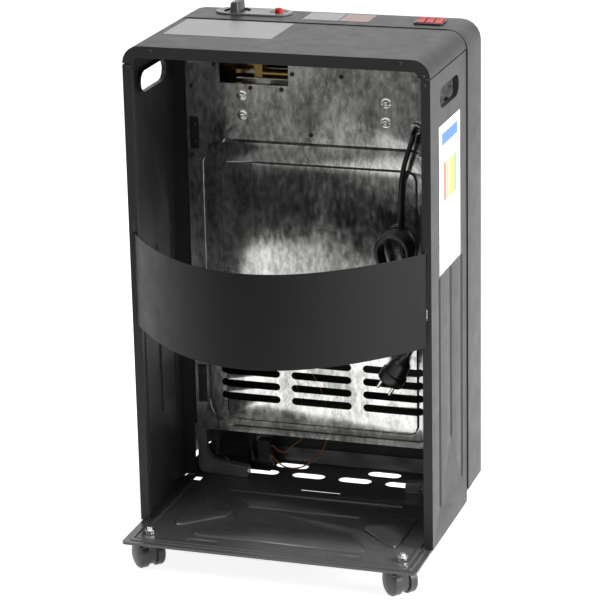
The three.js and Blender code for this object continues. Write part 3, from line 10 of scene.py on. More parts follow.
import bmesh
import bpy
from mathutils import Matrix, Vector


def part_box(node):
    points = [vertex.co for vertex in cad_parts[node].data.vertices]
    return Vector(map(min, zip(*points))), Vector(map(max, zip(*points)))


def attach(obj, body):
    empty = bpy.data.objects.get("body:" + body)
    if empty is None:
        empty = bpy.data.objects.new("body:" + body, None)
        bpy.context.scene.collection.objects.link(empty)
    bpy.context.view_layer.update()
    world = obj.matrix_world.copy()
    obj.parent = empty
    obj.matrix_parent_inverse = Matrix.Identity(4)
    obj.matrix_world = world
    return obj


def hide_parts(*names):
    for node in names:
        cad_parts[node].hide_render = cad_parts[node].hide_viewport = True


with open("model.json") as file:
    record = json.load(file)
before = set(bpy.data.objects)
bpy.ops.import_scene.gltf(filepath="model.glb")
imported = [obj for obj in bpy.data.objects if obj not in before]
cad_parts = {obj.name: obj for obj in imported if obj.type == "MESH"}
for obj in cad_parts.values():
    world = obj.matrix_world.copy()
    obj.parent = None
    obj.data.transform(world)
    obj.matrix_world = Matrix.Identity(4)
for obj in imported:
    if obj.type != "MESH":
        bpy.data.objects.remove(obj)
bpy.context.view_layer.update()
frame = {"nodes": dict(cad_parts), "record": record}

MM = 0.001
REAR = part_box("side_panel_right")[1][1]  # rear face of the cabinet, metres


def at(x, y, z):
    """A point of the construction frame, in metres."""
    return Vector((x * MM, REAR + y * MM, z * MM))


def node_box(name):
    """Lowest and highest corner of a node, in millimetres of the construction frame."""
    low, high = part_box(name)
    shift = Vector((0, REAR, 0))
    return (Vector(low) - shift) / MM, (Vector(high) - shift) / MM


# ---------------------------------------------------------------- camera

CAMERA_PLACE = (-1090.1, 3208.9, 1477.7)
CAMERA_YAW = -18.289
CAMERA_PITCH = 17.840
CAMERA_ROLL = -1.2545
CAMERA_LENS = 160.76


def add_camera():
    yaw, pitch, roll = (math.radians(a) for a in (CAMERA_YAW, CAMERA_PITCH, CAMERA_ROLL))
    ahead = Vector((-math.sin(yaw) * math.cos(pitch), -math.cos(yaw) * math.cos(pitch),
                    -math.sin(pitch)))
    right = ahead.cross(Vector((0, 0, 1))).normalized()
    up = right.cross(ahead)
    turned_right = math.cos(roll) * right + math.sin(roll) * up
    turned_up = -math.sin(roll) * right + math.cos(roll) * up
    camera = bpy.data.objects.new("camera", bpy.data.cameras.new("camera"))
    bpy.context.collection.objects.link(camera)
    camera.data.lens = CAMERA_LENS
    camera.data.sensor_width = 36
    camera.data.clip_end = 50
    turn = Matrix((turned_right, turned_up, -ahead)).transposed()
    camera.matrix_world = Matrix.Translation(at(*CAMERA_PLACE)) @ turn.to_4x4()
    bpy.context.scene.camera = camera


add_camera()

# ---------------------------------------------------------------- mesh helpers


def new_object(name, bm, material, body="cabinet", smooth=40):
    bmesh.ops.recalc_face_normals(bm, faces=bm.faces)
    mesh = bpy.data.meshes.new(name)
    bm.to_mesh(mesh)
    bm.free()
    obj = bpy.data.objects.new(name, mesh)
    bpy.context.collection.objects.link(obj)
    mesh.materials.append(material)
    shade(obj, smooth)
    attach(obj, body)
    return obj


def shade(obj, angle):
    mesh = obj.data
    mesh.polygons.foreach_set("use_smooth", [True] * len(mesh.polygons))
    mesh.set_sharp_from_angle(angle=math.radians(angle))


BEVEL_SEGMENTS = 2
BEVEL_ANGLE = 32         # degrees, a softer edge stays as it is


def bevel(obj, width):
    """Eases the edges of a piece by a width in millimetres."""
    modifier = obj.modifiers.new("edges", "BEVEL")
    modifier.width = width * MM
    modifier.segments = BEVEL_SEGMENTS
    modifier.limit_method = "ANGLE"
    modifier.angle_limit = math.radians(BEVEL_ANGLE)
    modifier.use_clamp_overlap = True
    modifier.harden_normals = True


def prism(bm, outline, normal, low, high):
    """Adds an outline of (u, v) points swept along one axis.

    Along x the points are (y, z), along y they are (x, z) and along z they are (x, y).
    """

    def place(u, v, w):
        return {"x": at(w, u, v), "y": at(u, w, v), "z": at(u, v, w)}[normal]

    lower = [bm.verts.new(place(u, v, low)) for u, v in outline]
    upper = [bm.verts.new(place(u, v, high)) for u, v in outline]
    bm.faces.new(lower)
    bm.faces.new(upper)
    count = len(outline)
    for i in range(count):
        j = (i + 1) % count
        bm.faces.new((lower[i], lower[j], upper[j], upper[i]))


def rounded(u0, u1, v0, v1, radius, steps=5):
    points = []
    corners = ((u1 - radius, v1 - radius, 0), (u0 + radius, v1 - radius, 90),
               (u0 + radius, v0 + radius, 180), (u1 - radius, v0 + radius, 270))
    for cu, cv, start in corners:
        for k in range(steps + 1):
            turn = math.radians(start + 90 * k / steps)
            points.append((cu + radius * math.cos(turn), cv + radius * math.sin(turn)))
    return points


def lathe(bm, profile, centre, axis, sides=32):
    """Turns (radius, distance) pairs about an axis through a point in metres."""
    axis = Vector(axis).normalized()
    side = axis.orthogonal().normalized()
    other = axis.cross(side)
    rings = []
    for radius, distance in profile:
        middle = centre + axis * distance * MM
        if radius < 1e-6:
            rings.append([bm.verts.new(middle)])
            continue
        ring = []
        for k in range(sides):
            turn = 2 * math.pi * k / sides
            ring.append(bm.verts.new(
                middle + (side * math.cos(turn) + other * math.sin(turn)) * radius * MM))
        rings.append(ring)
    for first, second in zip(rings, rings[1:]):
        for k in range(sides):
            j = (k + 1) % sides
            loop = [first[k % len(first)], first[j % len(first)], second[j % len(second)],
                    second[k % len(second)]]
            unique = list(dict.fromkeys(loop))
            if len(unique) > 2:
                bm.faces.new(unique)


# ---------------------------------------------------------------- materials


class Nodes:
    """A material's node tree with short ways to add what these finishes share."""

    def __init__(self, name, color, roughness, metallic=0.0):
        self.material = bpy.data.materials.new(name)
        self.material.use_nodes = True
        self.tree = self.material.node_tree
        self.shader = self.tree.nodes["Principled BSDF"]
        self.shader.inputs["Base Color"].default_value = (*color, 1)
        self.shader.inputs["Roughness"].default_value = roughness
        self.shader.inputs["Metallic"].default_value = metallic
        self.place = self.tree.nodes.new("ShaderNodeTexCoord").outputs["Object"]

    def add(self, kind, **values):
        node = self.tree.nodes.new(kind)
        for key, value in values.items():
            if key in node.inputs:
                node.inputs[key].default_value = value
            else:
                setattr(node, key.lower(), value)
        return node

    def link(self, source, target):
        self.tree.links.new(source, target)

    def noise(self, scale, detail=3.0, roughness=0.5, stretch=None):
        source = self.place
        if stretch:
            mapping = self.add("ShaderNodeMapping")
            mapping.inputs["Scale"].default_value = stretch
            self.link(source, mapping.inputs["Vector"])
            source = mapping.outputs["Vector"]
        noise = self.add("ShaderNodeTexNoise", Scale=scale, Detail=detail, Roughness=roughness)
        self.link(source, noise.inputs["Vector"])
        return noise.outputs["Fac"]

    def cell_distance(self, scale):
        cells = self.add("ShaderNodeTexVoronoi", Scale=scale)
        self.link(self.place, cells.inputs["Vector"])
        return cells.outputs["Distance"]

    def ramp(self, source, stops, target):
        ramp = self.add("ShaderNodeValToRGB")
        elements = ramp.color_ramp.elements
        while len(elements) < len(stops):
            elements.new(0.5)
        for element, (position, color) in zip(elements, stops):
            element.position = position
            element.color = (*color, 1) if isinstance(color, tuple) else (color, color, color, 1)
        self.link(source, ramp.inputs["Fac"])
        self.link(ramp.outputs["Color"], target)

    def bump(self, source, strength, distance):
        bump = self.add("ShaderNodeBump", Strength=strength, Distance=distance)
        self.link(source, bump.inputs["Height"])
        self.link(bump.outputs["Normal"], self.shader.inputs["Normal"])


def powder_coat(name, color, roughness, grain=0.12, wear=0.05, gleam=0.5):
    """Baked paint: very fine orange peel, slight changes of tone and gloss."""
    nodes = Nodes(name, color, roughness)
    nodes.shader.inputs["Specular IOR Level"].default_value = gleam
    peel = nodes.noise(1400, 2.0)
    nodes.bump(peel, grain, 0.0004)
    tone = nodes.noise(9, 4.0, 0.6)
    dark = tuple(c * (1 - wear) for c in color)
    light = tuple(c * (1 + wear) for c in color)
    nodes.ramp(tone, ((0.3, dark), (0.7, light)), nodes.shader.inputs["Base Color"])
    nodes.ramp(nodes.noise(40, 3.0), ((0.3, roughness * 0.92), (0.7, roughness * 1.1)),
               nodes.shader.inputs["Roughness"])
    return nodes.material


def spangled_zinc(name, tone=0.56):
    """Galvanised sheet: half-bright ground under soft clouds and fine flakes of crystal."""
    nodes = Nodes(name, (tone, tone, tone), 0.25, 0.95)
    clouds = nodes.noise(17, 3.0, 0.55, (1, 1, 0.6))
    flakes = nodes.noise(165, 4.0, 0.6, (1, 1, 0.5))
    mix = nodes.add("ShaderNodeMix", data_type="FLOAT")
    mix.inputs["Factor"].default_value = 0.5
    nodes.link(clouds, mix.inputs["A"])
    nodes.link(flakes, mix.inputs["B"])
    blend = mix.outputs["Result"]
    dark = (tone * 0.5, tone * 0.51, tone * 0.48)
    light = (tone * 1.48, tone * 1.5, tone * 1.44)
    nodes.ramp(blend, ((0.38, dark), (0.62, light)), nodes.shader.inputs["Base Color"])
    nodes.ramp(blend, ((0.38, 0.12), (0.62, 0.2)), nodes.shader.inputs["Roughness"])
    return nodes.material


def bright_metal(name, color, roughness, scratches=(1, 40, 40)):
    """Polished or plated metal, scratched along x or, where the scales are equal, grained."""
    nodes = Nodes(name, color, roughness, 1.0)
    lines = nodes.noise(60, 2.0, 0.6, scratches)
    nodes.ramp(lines, ((0.35, roughness * 0.75), (0.7, roughness * 1.35)),
               nodes.shader.inputs["Roughness"])
    nodes.bump(lines, 0.06, 0.0003)
    tone = nodes.noise(25, 3.0)
    nodes.ramp(tone, ((0.3, tuple(c * 0.88 for c in color)), (0.7, color)),
               nodes.shader.inputs["Base Color"])
    return nodes.material


def moulded(name, color, roughness, grain=0.2, scale=900):
    """Moulded plastic or rubber with a fine grain and a little dust in the tone."""
    nodes = Nodes(name, color, roughness)
    nodes.bump(nodes.noise(scale, 2.0), grain, 0.0003)
    nodes.ramp(nodes.noise(30, 4.0), ((0.3, roughness * 0.85), (0.7, min(1, roughness * 1.15))),
               nodes.shader.inputs["Roughness"])
    light = tuple(min(1, c * 1.12 + 0.002) for c in color)
    nodes.ramp(nodes.noise(14, 3.0), ((0.35, color), (0.75, light)),
               nodes.shader.inputs["Base Color"])
    return nodes.material


def porous(name, color):
    """Fired ceramic with rows of fine flame ports, each painted darker towards its middle as
    painted shade in the hole.
    """
    nodes = Nodes(name, color, 0.85)
    port_holes_and_shade = nodes.cell_distance(420)
    # Painted shade: the colour darkens towards each port's middle, where the hole lies in shade;
    # the bump below dents the same ports.
    nodes.ramp(port_holes_and_shade, ((0.16, tuple(c * 0.35 for c in color)), (0.34, color)),
               nodes.shader.inputs["Base Color"])
    nodes.bump(port_holes_and_shade, 0.6, 0.0008)
    return nodes.material


def frosted(name, color):
    """Milky glass tube that lets the turns of its heating coil show as bands."""
    nodes = Nodes(name, color, 0.3)
    nodes.shader.inputs["Transmission Weight"].default_value = 0.25
    nodes.ramp(nodes.noise(50, 3.0), ((0.3, 0.25), (0.7, 0.42)), nodes.shader.inputs["Roughness"])
    rings = nodes.add("ShaderNodeTexWave", Scale=210.0)
    rings.bands_direction = "X"
    nodes.link(nodes.place, rings.inputs["Vector"])
    nodes.ramp(rings.outputs["Fac"], ((0.2, tuple(c * 0.55 for c in color)), (0.55, color)),
               nodes.shader.inputs["Base Color"])
    return nodes.material


def film(name, color, roughness=0.35, spread=0.04):
    """Smooth plastic film for bare plates, a band and strips."""
    nodes = Nodes(name, color, roughness)
    low = tuple(c * (1 - spread) for c in color)
    nodes.ramp(nodes.noise(60, 3.0), ((0.35, low), (0.65, color)),
               nodes.shader.inputs["Base Color"])
    nodes.bump(nodes.noise(300, 2.0), 0.05, 0.0002)
    return nodes.material


CHARCOAL = powder_coat("charcoal_coat", (0.03, 0.03, 0.031), 0.42, gleam=0.22)
STRAP_COAT = powder_coat("strap_coat", (0.006, 0.006, 0.0062), 0.44, gleam=0.2)
BASE_COAT = powder_coat("base_coat", (0.075, 0.077, 0.076), 0.24, 0.01, 0.02, 0.6)
ZINC = spangled_zinc("spangled_zinc")
STEEL = bright_metal("bright_steel", (0.72, 0.72, 0.73), 0.24)
NICKEL = bright_metal("nickel_plate", (0.78, 0.78, 0.76), 0.18, (20, 20, 20))
BRASS = bright_metal("brass", (0.42, 0.27, 0.08), 0.3, (20, 20, 20))
BLACKENED = bright_metal("blackened_steel", (0.05, 0.05, 0.052), 0.35, (20, 20, 20))
CERAMIC = porous("ceramic", (0.82, 0.74, 0.6))
QUARTZ = frosted("quartz", (0.85, 0.82, 0.76))
GREY_PLASTIC = moulded("grey_plastic", (0.17, 0.172, 0.175), 0.34)
BLACK_PLASTIC = moulded("black_plastic", (0.012, 0.012, 0.013), 0.36)
WHEEL_PLASTIC = moulded("wheel_plastic", (0.045, 0.045, 0.046), 0.34)
RED_PLASTIC = moulded("red_plastic", (0.55, 0.006, 0.006), 0.3, 0.05)
CORD_SHEATH = moulded("cord_sheath", (0.009, 0.009, 0.01), 0.34, 0.12, 500)
BROWN_SLEEVE = moulded("brown_sleeve", (0.42, 0.14, 0.03), 0.4, 0.1, 600)
PAPER = film("pale_plate", (0.93, 0.94, 0.95))
GREY_FILM = film("grey_plate", (0.33, 0.33, 0.33), 0.4)
ROSE_FILM = film("rose_plate", (0.34, 0.22, 0.21), 0.4)
BLUE_FILM = film("blue_band", (0.02, 0.16, 0.50))

# ---------------------------------------------------------------- mains cord

CORD = 7.0
BUSH = node_box("cord_bush")
CORD_START = (-141.0, BUSH[1].y + 0.3, 586.0)
HANK_TOP = 444.0
HANK_BOTTOM = 294.0
HANK_X = -117.0
HANK_Y = -170.0
HANK_LOOPS = 4
HANK_PITCH = 8.0
HANK_FOLD = 22.0
HANK_WAIST = 12.0
PLUG_FACE = Vector((-112.0, -138.0, 236.0))
PLUG_AXIS = Vector((0.53, 0, -0.85)).normalized()
PLUG_NECK = 58.0

RUN = HANK_TOP - HANK_BOTTOM - 2 * HANK_FOLD
FOLD = math.pi * HANK_FOLD
LOOP = 2 * (RUN + FOLD)


def draw_in(share):
    """How far a run of the hank is drawn towards the tie at a share of its length."""
    return HANK_WAIST * (0.5 - 0.5 * math.cos(2 * math.pi * share))


def hank_place(distance):
    """Centre line of the hank after a distance from the top of its first near run."""
    loop = math.floor(distance / LOOP)
    along = distance - loop * LOOP
    share = min(max((along - RUN - FOLD) / RUN, 0), 1)
    y = HANK_Y + HANK_PITCH * (loop + share * share * (3 - 2 * share))
    if along < RUN:
        return (HANK_X - HANK_FOLD + draw_in(along / RUN), y, HANK_TOP - HANK_FOLD - along)
    along -= RUN
    if along < FOLD:
        turn = along / HANK_FOLD
        return (HANK_X - HANK_FOLD * math.cos(turn), y,
                HANK_BOTTOM + HANK_FOLD - HANK_FOLD * math.sin(turn))
    along -= FOLD
    if along < RUN:
        return (HANK_X + HANK_FOLD - draw_in(along / RUN), y, HANK_BOTTOM + HANK_FOLD + along)
    turn = (along - RUN) / HANK_FOLD
    return (HANK_X + HANK_FOLD * math.cos(turn), y,
            HANK_TOP - HANK_FOLD + HANK_FOLD * math.sin(turn))


def cord_points():
    """The cord's route: down from the bush, through the hank and out to the plug."""
    start = RUN / 2
    length = HANK_LOOPS * LOOP + RUN - start
    first = hank_place(start)
    last = hank_place(start + length)
    plug_lead = PLUG_FACE - PLUG_AXIS * (PLUG_NECK + 6)
    plug_mouth = PLUG_FACE - PLUG_AXIS * (PLUG_NECK + 0.3)
    points = [
        CORD_START,
        (-141, -166, 583), (-140, -162, 575), (-134, -162, 556), (-127, -165, 534),
        (-122, -168, 506), (-120, -171, 470), (-121, -171, 430), (-125, -170.5, 398),
        (first[0], first[1], first[2] + 6),
    ]
    steps = 14 * (HANK_LOOPS * 2 + 1)
    points += [hank_place(start + length * k / steps) for k in range(steps + 1)]
    points += [(last[0], last[1], last[2] - 10), tuple(plug_lead), tuple(plug_mouth)]
    return points


def smooth_points(points, parts=4):
    """Points of a Catmull-Rom curve through the given ones."""
    found = []
    for i in range(len(points) - 1):
        a = Vector(points[max(i - 1, 0)])
        b = Vector(points[i])
        c = Vector(points[i + 1])
        d = Vector(points[min(i + 2, len(points) - 1)])
        for k in range(parts):
            t = k / parts
            found.append(0.5 * (2 * b + (c - a) * t + (2 * a - 5 * b + 4 * c - d) * t * t
                                + (3 * b - a - 3 * c + d) * t ** 3))
    found.append(Vector(points[-1]))
    return found


def tube(name, points, diameter, material, body="cabinet"):
    """A round flex along the points, and its length in metres."""
    curve = bpy.data.curves.new(name, "CURVE")
    curve.dimensions = "3D"
    curve.bevel_depth = diameter / 2 * MM
    curve.bevel_resolution = 5
    curve.use_fill_caps = True
    spline = curve.splines.new("POLY")
    spline.points.add(len(points) - 1)
    for point, place in zip(spline.points, points):
        point.co = (*at(*place), 1)
    spline.use_smooth = True
    obj = bpy.data.objects.new(name, curve)
    bpy.context.collection.objects.link(obj)
    curve.materials.append(material)
    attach(obj, body)
    length = sum((Vector(b) - Vector(a)).length for a, b in zip(points, points[1:]))
    return obj, length * MM


def add_plug():
    """Straight moulded plug with grip ribs and two round pins."""
    bm = bmesh.new()
    face = at(*PLUG_FACE)
    axis = PLUG_AXIS
    lathe(bm, [
        (0, -3), (16.5, -3), (16.7, -0.3), (17.4, 0), (18.4, 0), (19, -0.8), (19, -13.6),
        (18.2, -14.9),
        (16.4, -15.6), (16, -17.5), (15.9, -20), (15, -22), (15.4, -24), (14.3, -26), (14.7, -28),
        (13.6, -30), (13.9, -32), (12.6, -34.5), (10, -37.5), (8, -40), (6, -43.4), (5.6, -45),
        (4.9, -46), (5.3, -47.4), (4.7, -48.6), (5.1, -50), (4.6, -51.4), (4.9, -52.8),
        (4.4, -54.4),
        (4.6, -56), (4.1, -PLUG_NECK + 0.4), (3.7, -PLUG_NECK), (0, -PLUG_NECK),
    ], face, axis, 40)
    plug = new_object("plug_body", bm, BLACK_PLASTIC, smooth=50)
    bm = bmesh.new()
    spread = Vector((0, 0, 1)).rotation_difference(axis) @ Vector((1, 0, 0))
    for side in (-1, 1):
        foot = face + spread * side * 9.5 * MM
        pin = [(0, -4), (2.4, -4), (2.4, 17.2), (2.1, 18.3), (1.3, 19), (0, 19)]
        lathe(bm, pin, foot, axis, 20)
    pins = new_object("plug_pins", bm, NICKEL)
    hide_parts("mains_plug")
    pins.parent = plug
    return plug, pins


def add_tie():
    """Wire tie round the waist of the hank."""
    low, high = node_box("cord_tie")
    bm = bmesh.new()
    outer = rounded(low.x, high.x, low.y, high.y, 5)
    inner = rounded(low.x + 1.1, high.x - 1.1, low.y + 1.1, high.y - 1.1, 4)
    rings = []
    bottom, top = low.z + 0.6, high.z - 0.6
    for outline, z in ((outer, bottom), (outer, top), (inner, top), (inner, bottom)):
        rings.append([bm.verts.new(at(u, v, z)) for u, v in outline])
    count = len(outer)
    for k in range(4):
        first, second = rings[k], rings[(k + 1) % 4]
        for i in range(count):
            j = (i + 1) % count
            bm.faces.new((first[i], first[j], second[j], second[i]))
    tie = new_object("hank_tie", bm, BLACK_PLASTIC)
    bevel(tie, 0.35)
    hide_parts("cord_tie")
    return tie


def add_cord():
    plug, pins = add_plug()
    tie = add_tie()
    route = smooth_points(cord_points())
    flex, length = tube("mains_flex", route, CORD, CORD_SHEATH)
    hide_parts("mains_cord", "cord_hank", "cord_tail")


add_cord()

# ---------------------------------------------------------------- solids carried over


SOFT_ANGLE = 34          # degrees, flatter creases are shaded smooth


def dressed(node, material, edge):
    """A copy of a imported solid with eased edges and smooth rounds, shown in its place."""
    source = frame["nodes"][node]
    bm = bmesh.new()
    bm.from_mesh(source.data)
    bmesh.ops.remove_doubles(bm, verts=bm.verts, dist=1e-6)
    bmesh.ops.dissolve_limit(bm, angle_limit=math.radians(0.6), verts=bm.verts, edges=bm.edges)
    owner = next(b for b, names in frame["record"]["behaviour"]["bodies"].items() if node in names)
    obj = new_object(node + "_dressed", bm, material, owner, SOFT_ANGLE)
    if edge:
        bevel(obj, edge)
    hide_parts(node)
    return obj


FINISHES = {             # material and width of the eased edges
    "base_plate": (BASE_COAT, 0.7),
    "side_panel_right": (CHARCOAL, 0.3),
    "side_panel_left": (CHARCOAL, 0.3),
    "top_cover": (CHARCOAL, 0.4),
    "front_frame": (CHARCOAL, 0.4),
    "bottle_strap": (STRAP_COAT, 0.25),
    "rear_heat_shield": (ZINC, 1.2),
    "cord_bush": (NICKEL, 0.3),
    "corner_bracket_right": (GREY_PLASTIC, 0.8),
    "corner_bracket_left": (GREY_PLASTIC, 0.8),
    "burner_box": (ZINC, 0.3),
    "ceramic_plaque_right": (CERAMIC, 0.3),
    "ceramic_plaque_centre": (CERAMIC, 0.3),
    "ceramic_plaque_left": (CERAMIC, 0.3),
    "reflector": (STEEL, 0.2),
    "tube_holder_right": (ZINC, 0.2),
    "tube_holder_left": (ZINC, 0.2),
    "quartz_tube_1": (QUARTZ, 0.4),
    "quartz_tube_2": (QUARTZ, 0.4),
    "quartz_tube_3": (QUARTZ, 0.4),
    "guard_grille": (STEEL, 0),
    "gas_valve_body": (BRASS, 0.4),
    "injector_rail": (BRASS, 0.4),
    "valve_push_rod": (NICKEL, 0.2),
    "valve_spindle": (NICKEL, 0.2),
    "gas_knob": (BLACK_PLASTIC, 0.6),
    "control_plate": (GREY_PLASTIC, 0.4),
    "piezo_igniter": (BLACK_PLASTIC, 0.3),
    "piezo_button": (RED_PLASTIC, 0.4),
    "switch_bezel": (BLACK_PLASTIC, 0.4),
    "rocker_switch_1": (RED_PLASTIC, 0.4),
    "rocker_switch_2": (RED_PLASTIC, 0.4),
    "rocker_switch_3": (RED_PLASTIC, 0.4),
    "tilt_switch_bracket": (BLACKENED, 0.2),
    "tilt_switch_body": (BLACK_PLASTIC, 0.6),
    "tilt_switch_weight": (BLACKENED, 0.3),
    "pilot_burner": (STEEL, 0.3),
}
for end in ("rear_right", "rear_left", "front_right", "front_left"):
    FINISHES["castor_stud_" + end] = (NICKEL, 0.3)
    FINISHES["castor_body_" + end] = (WHEEL_PLASTIC, 0.5)
    FINISHES["castor_wheel_" + end + "_outer"] = (WHEEL_PLASTIC, 0.6)
    FINISHES["castor_wheel_" + end + "_inner"] = (WHEEL_PLASTIC, 0.6)

for node, (material, edge) in FINISHES.items():
    dressed(node, material, edge)

# ---------------------------------------------------------------- leads of the tilt switch

LEAD = 2.2
LEAD_UPPER = (
    (94.4, -226, 88), (91, -226, 87.6), (85, -226, 82), (76, -227, 79), (62, -228, 90),
    (46, -229, 106), (44, -226, 150), (70, -215, 230), (140, -205, 300), (163, -202, 340),
    (166, -202, 420), (166, -202, 520), (166, -204, 610), (168, -216, 655), (164, -228, 668),
    (150.3, -230, 670))
LEAD_LOWER = (
    (94.4, -222, 74), (91, -222, 73), (85, -223, 66), (72, -224, 57.5), (52, -225, 58),
    (32, -226, 70), (14, -226, 92), (8, -225, 120), (14, -222, 180), (60, -212, 250),
    (140, -208, 306), (168, -209, 344), (171, -209, 420), (171, -209, 520), (172, -210, 610),
    (174, -220, 652), (166, -236, 660), (150.3, -237, 660))


def even_curve(points, parts=8):
    """Points of a centripetal curve through the given ones, which doesn't overshoot short spans."""
    places = [Vector(p) for p in points]
    places = [2 * places[0] - places[1]] + places + [2 * places[-1] - places[-2]]
    found = []
    for a, b, c, d in zip(places, places[1:], places[2:], places[3:]):
        t0 = 0.0
        t1 = t0 + (b - a).length ** 0.5
        t2 = t1 + (c - b).length ** 0.5
        t3 = t2 + (d - c).length ** 0.5
        for k in range(parts):
            t = t1 + (t2 - t1) * k / parts
            ab = a.lerp(b, (t - t0) / (t1 - t0))
            bc = b.lerp(c, (t - t1) / (t2 - t1))
            cd = c.lerp(d, (t - t2) / (t3 - t2))
            found.append(ab.lerp(bc, (t - t0) / (t2 - t0)).lerp(
                bc.lerp(cd, (t - t1) / (t3 - t1)), (t - t1) / (t2 - t1)))
    found.append(places[-2])
    return found


for node, route in (("tilt_lead_upper", LEAD_UPPER), ("tilt_lead_lower", LEAD_LOWER)):
    lead, _ = tube(node + "_sleeve", even_curve(route), LEAD, BROWN_SLEEVE)
    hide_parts(node)

# ---------------------------------------------------------------- screws


RECESS = 0.45            # share of a screw head's radius


def screw(name, x, y, z, head, height, material, washer=0):
    """Pan head with a round recess, standing on a surface that faces the rear."""
    bm = bmesh.new()
    foot = at(x, y, z)
    profile = [(0, -0.3)]
    if washer:
        profile += [(washer, -0.3), (washer, 0.7), (washer - 0.5, 1.0), (head, 1.0)]
    base = 1.0 if washer else -0.3
    profile += [(head, base), (head, base + height * 0.45), (head * 0.86, base + height * 0.8),
                (head * 0.6, base + height), (head * RECESS, base + height * 1.02),
                (head * RECESS * 0.7, base + height * 0.45), (0, base + height * 0.4)]
    lathe(bm, profile, foot, (0, 1, 0), 24)
    return new_object(name, bm, material, smooth=35)


FRAME_REAR = -184.4      # rear face of the front frame, which carries the shield
SEAT_GAP = 0.3
SHIELD_SHEET = 1.0
FLAT_SHIELD = FRAME_REAR + SEAT_GAP + SHIELD_SHEET      # rear face of the shield's flat border

BURNER_SCREWS = ((109, 618), (109, 590), (-98, 618), (-97, 591))
for i, (x, z) in enumerate(BURNER_SCREWS):
    screw(f"burner_screw_{i}", x, FLAT_SHIELD, z, 4.0, 2.6, NICKEL, washer=7.2)
SHIELD_SCREWS = (
    (182, 628), (96, 629), (51, 629), (35, 651), (148, 567), (10, 567), (183, 529),
    (-182, 628), (-183, 529), (-148, 567), (-35, 651), (148, 660), (-150, 655))
for i, (x, z) in enumerate(SHIELD_SCREWS):
    screw(f"shield_screw_{i}", x, FLAT_SHIELD, z, 3.2, 2.0, BLACKENED)
FLANGE_REAR = 0.2        # just behind the rear flanges
REAR_SCREWS = ((169.8, 716.3), (-170.5, 717.3), (201, 693.3), (-200, 701.5), (-202, 690))
for i, (x, z) in enumerate(REAR_SCREWS):
    screw(f"flange_screw_{i}", x, FLANGE_REAR, z, 3.2, 2.0, BLACKENED)

# ---------------------------------------------------------------- bare plates


def plate(name, normal, u0, u1, v0, v1, level, thick, material, radius=1.5):
    bm = bmesh.new()
    low, high = sorted((level, level + thick))
    prism(bm, rounded(u0, u1, v0, v1, radius, 3), normal, low, high)
    return new_object(name, bm, material)


PLATE_LIFT = 0.02        # clear of the face that a plate lies on
PLATE_THICK = 0.25

# Clips stand on the front frame, in the windows of the shield
CLIP_THICK = 2.4
CLIP_SCREW = 9           # end of a clip to the middle of its screw
for name, low, high in (("upper", 540, 582), ("lower", 165, 218)):
    plate(f"clip_{name}", "y", 175, 185, low, high, FRAME_REAR + PLATE_LIFT, CLIP_THICK,
          BLACK_PLASTIC, 1.2)
    for i, z in enumerate((low + CLIP_SCREW, high - CLIP_SCREW)):
        screw(f"clip_{name}_screw_{i}", 180, FRAME_REAR + CLIP_THICK, z, 2.8, 1.6, BLACKENED)

COVER_TOP = node_box("top_cover")[1].z
FRAME_TOP = node_box("front_frame")[1].z
plate("top_plate", "z", 29, 182, -178, -78, COVER_TOP + PLATE_LIFT, PLATE_THICK, GREY_FILM)
FRONT_PLATES = (("front_plate_middle", -24, 26, GREY_FILM),
                ("front_plate_left", -67, -26, ROSE_FILM))
for name, left, right, material in FRONT_PLATES:
    plate(name, "z", left, right, -250, -204, FRAME_TOP + PLATE_LIFT, PLATE_THICK, material)

PANEL = -node_box("side_panel_left")[0].x
plate("side_plate", "x", -147, -41, 424, 625, -PANEL - PLATE_LIFT, -PLATE_THICK, PAPER)
STRIP_LIFT = 0.28        # clear of the side plate's own face
STRIP_LEVEL = -PANEL - STRIP_LIFT
STRIP_THICK = -0.12
plate("side_band", "x", -133, -55, 597, 613, STRIP_LEVEL, STRIP_THICK, BLUE_FILM, 0.6)
STRIP_COLORS = ((0.15, 0.5, 0.06), (0.5, 0.65, 0.04), (0.85, 0.75, 0.02), (0.85, 0.4, 0.02),
                (0.7, 0.08, 0.02))
STRIP_PITCH = 13
STRIP_START = -126       # front edge of the first strip
STRIP_WIDTH = STRIP_PITCH - 3
for i, color in enumerate(STRIP_COLORS):
    low = STRIP_START + i * STRIP_PITCH
    plate(f"side_strip_{i}", "x", low, low + STRIP_WIDTH, 520, 572, STRIP_LEVEL, STRIP_THICK,
          film(f"strip_{i}", color), 0.6)

# ---------------------------------------------------------------- floor and light


FLOOR_GLOW = 0.85
FLOOR_BACK = (1.15, 1.5)  # the studio floor grows dim between these distances behind the heater
FLOOR_DIM = 0.13
FLOOR_TONE = 0.9


def seen_directly(tree):
    """1 for rays from the camera and for those that a gloss or a glass shows, 0 for the rest."""
    path = tree.nodes.new("ShaderNodeLightPath")
    total = path.outputs["Is Camera Ray"]
    for ray in ("Is Glossy Ray", "Is Transmission Ray"):
        larger = tree.nodes.new("ShaderNodeMath")
        larger.operation = "MAXIMUM"
        tree.links.new(total, larger.inputs[0])
        tree.links.new(path.outputs[ray], larger.inputs[1])
        total = larger.outputs[0]
    return total, path


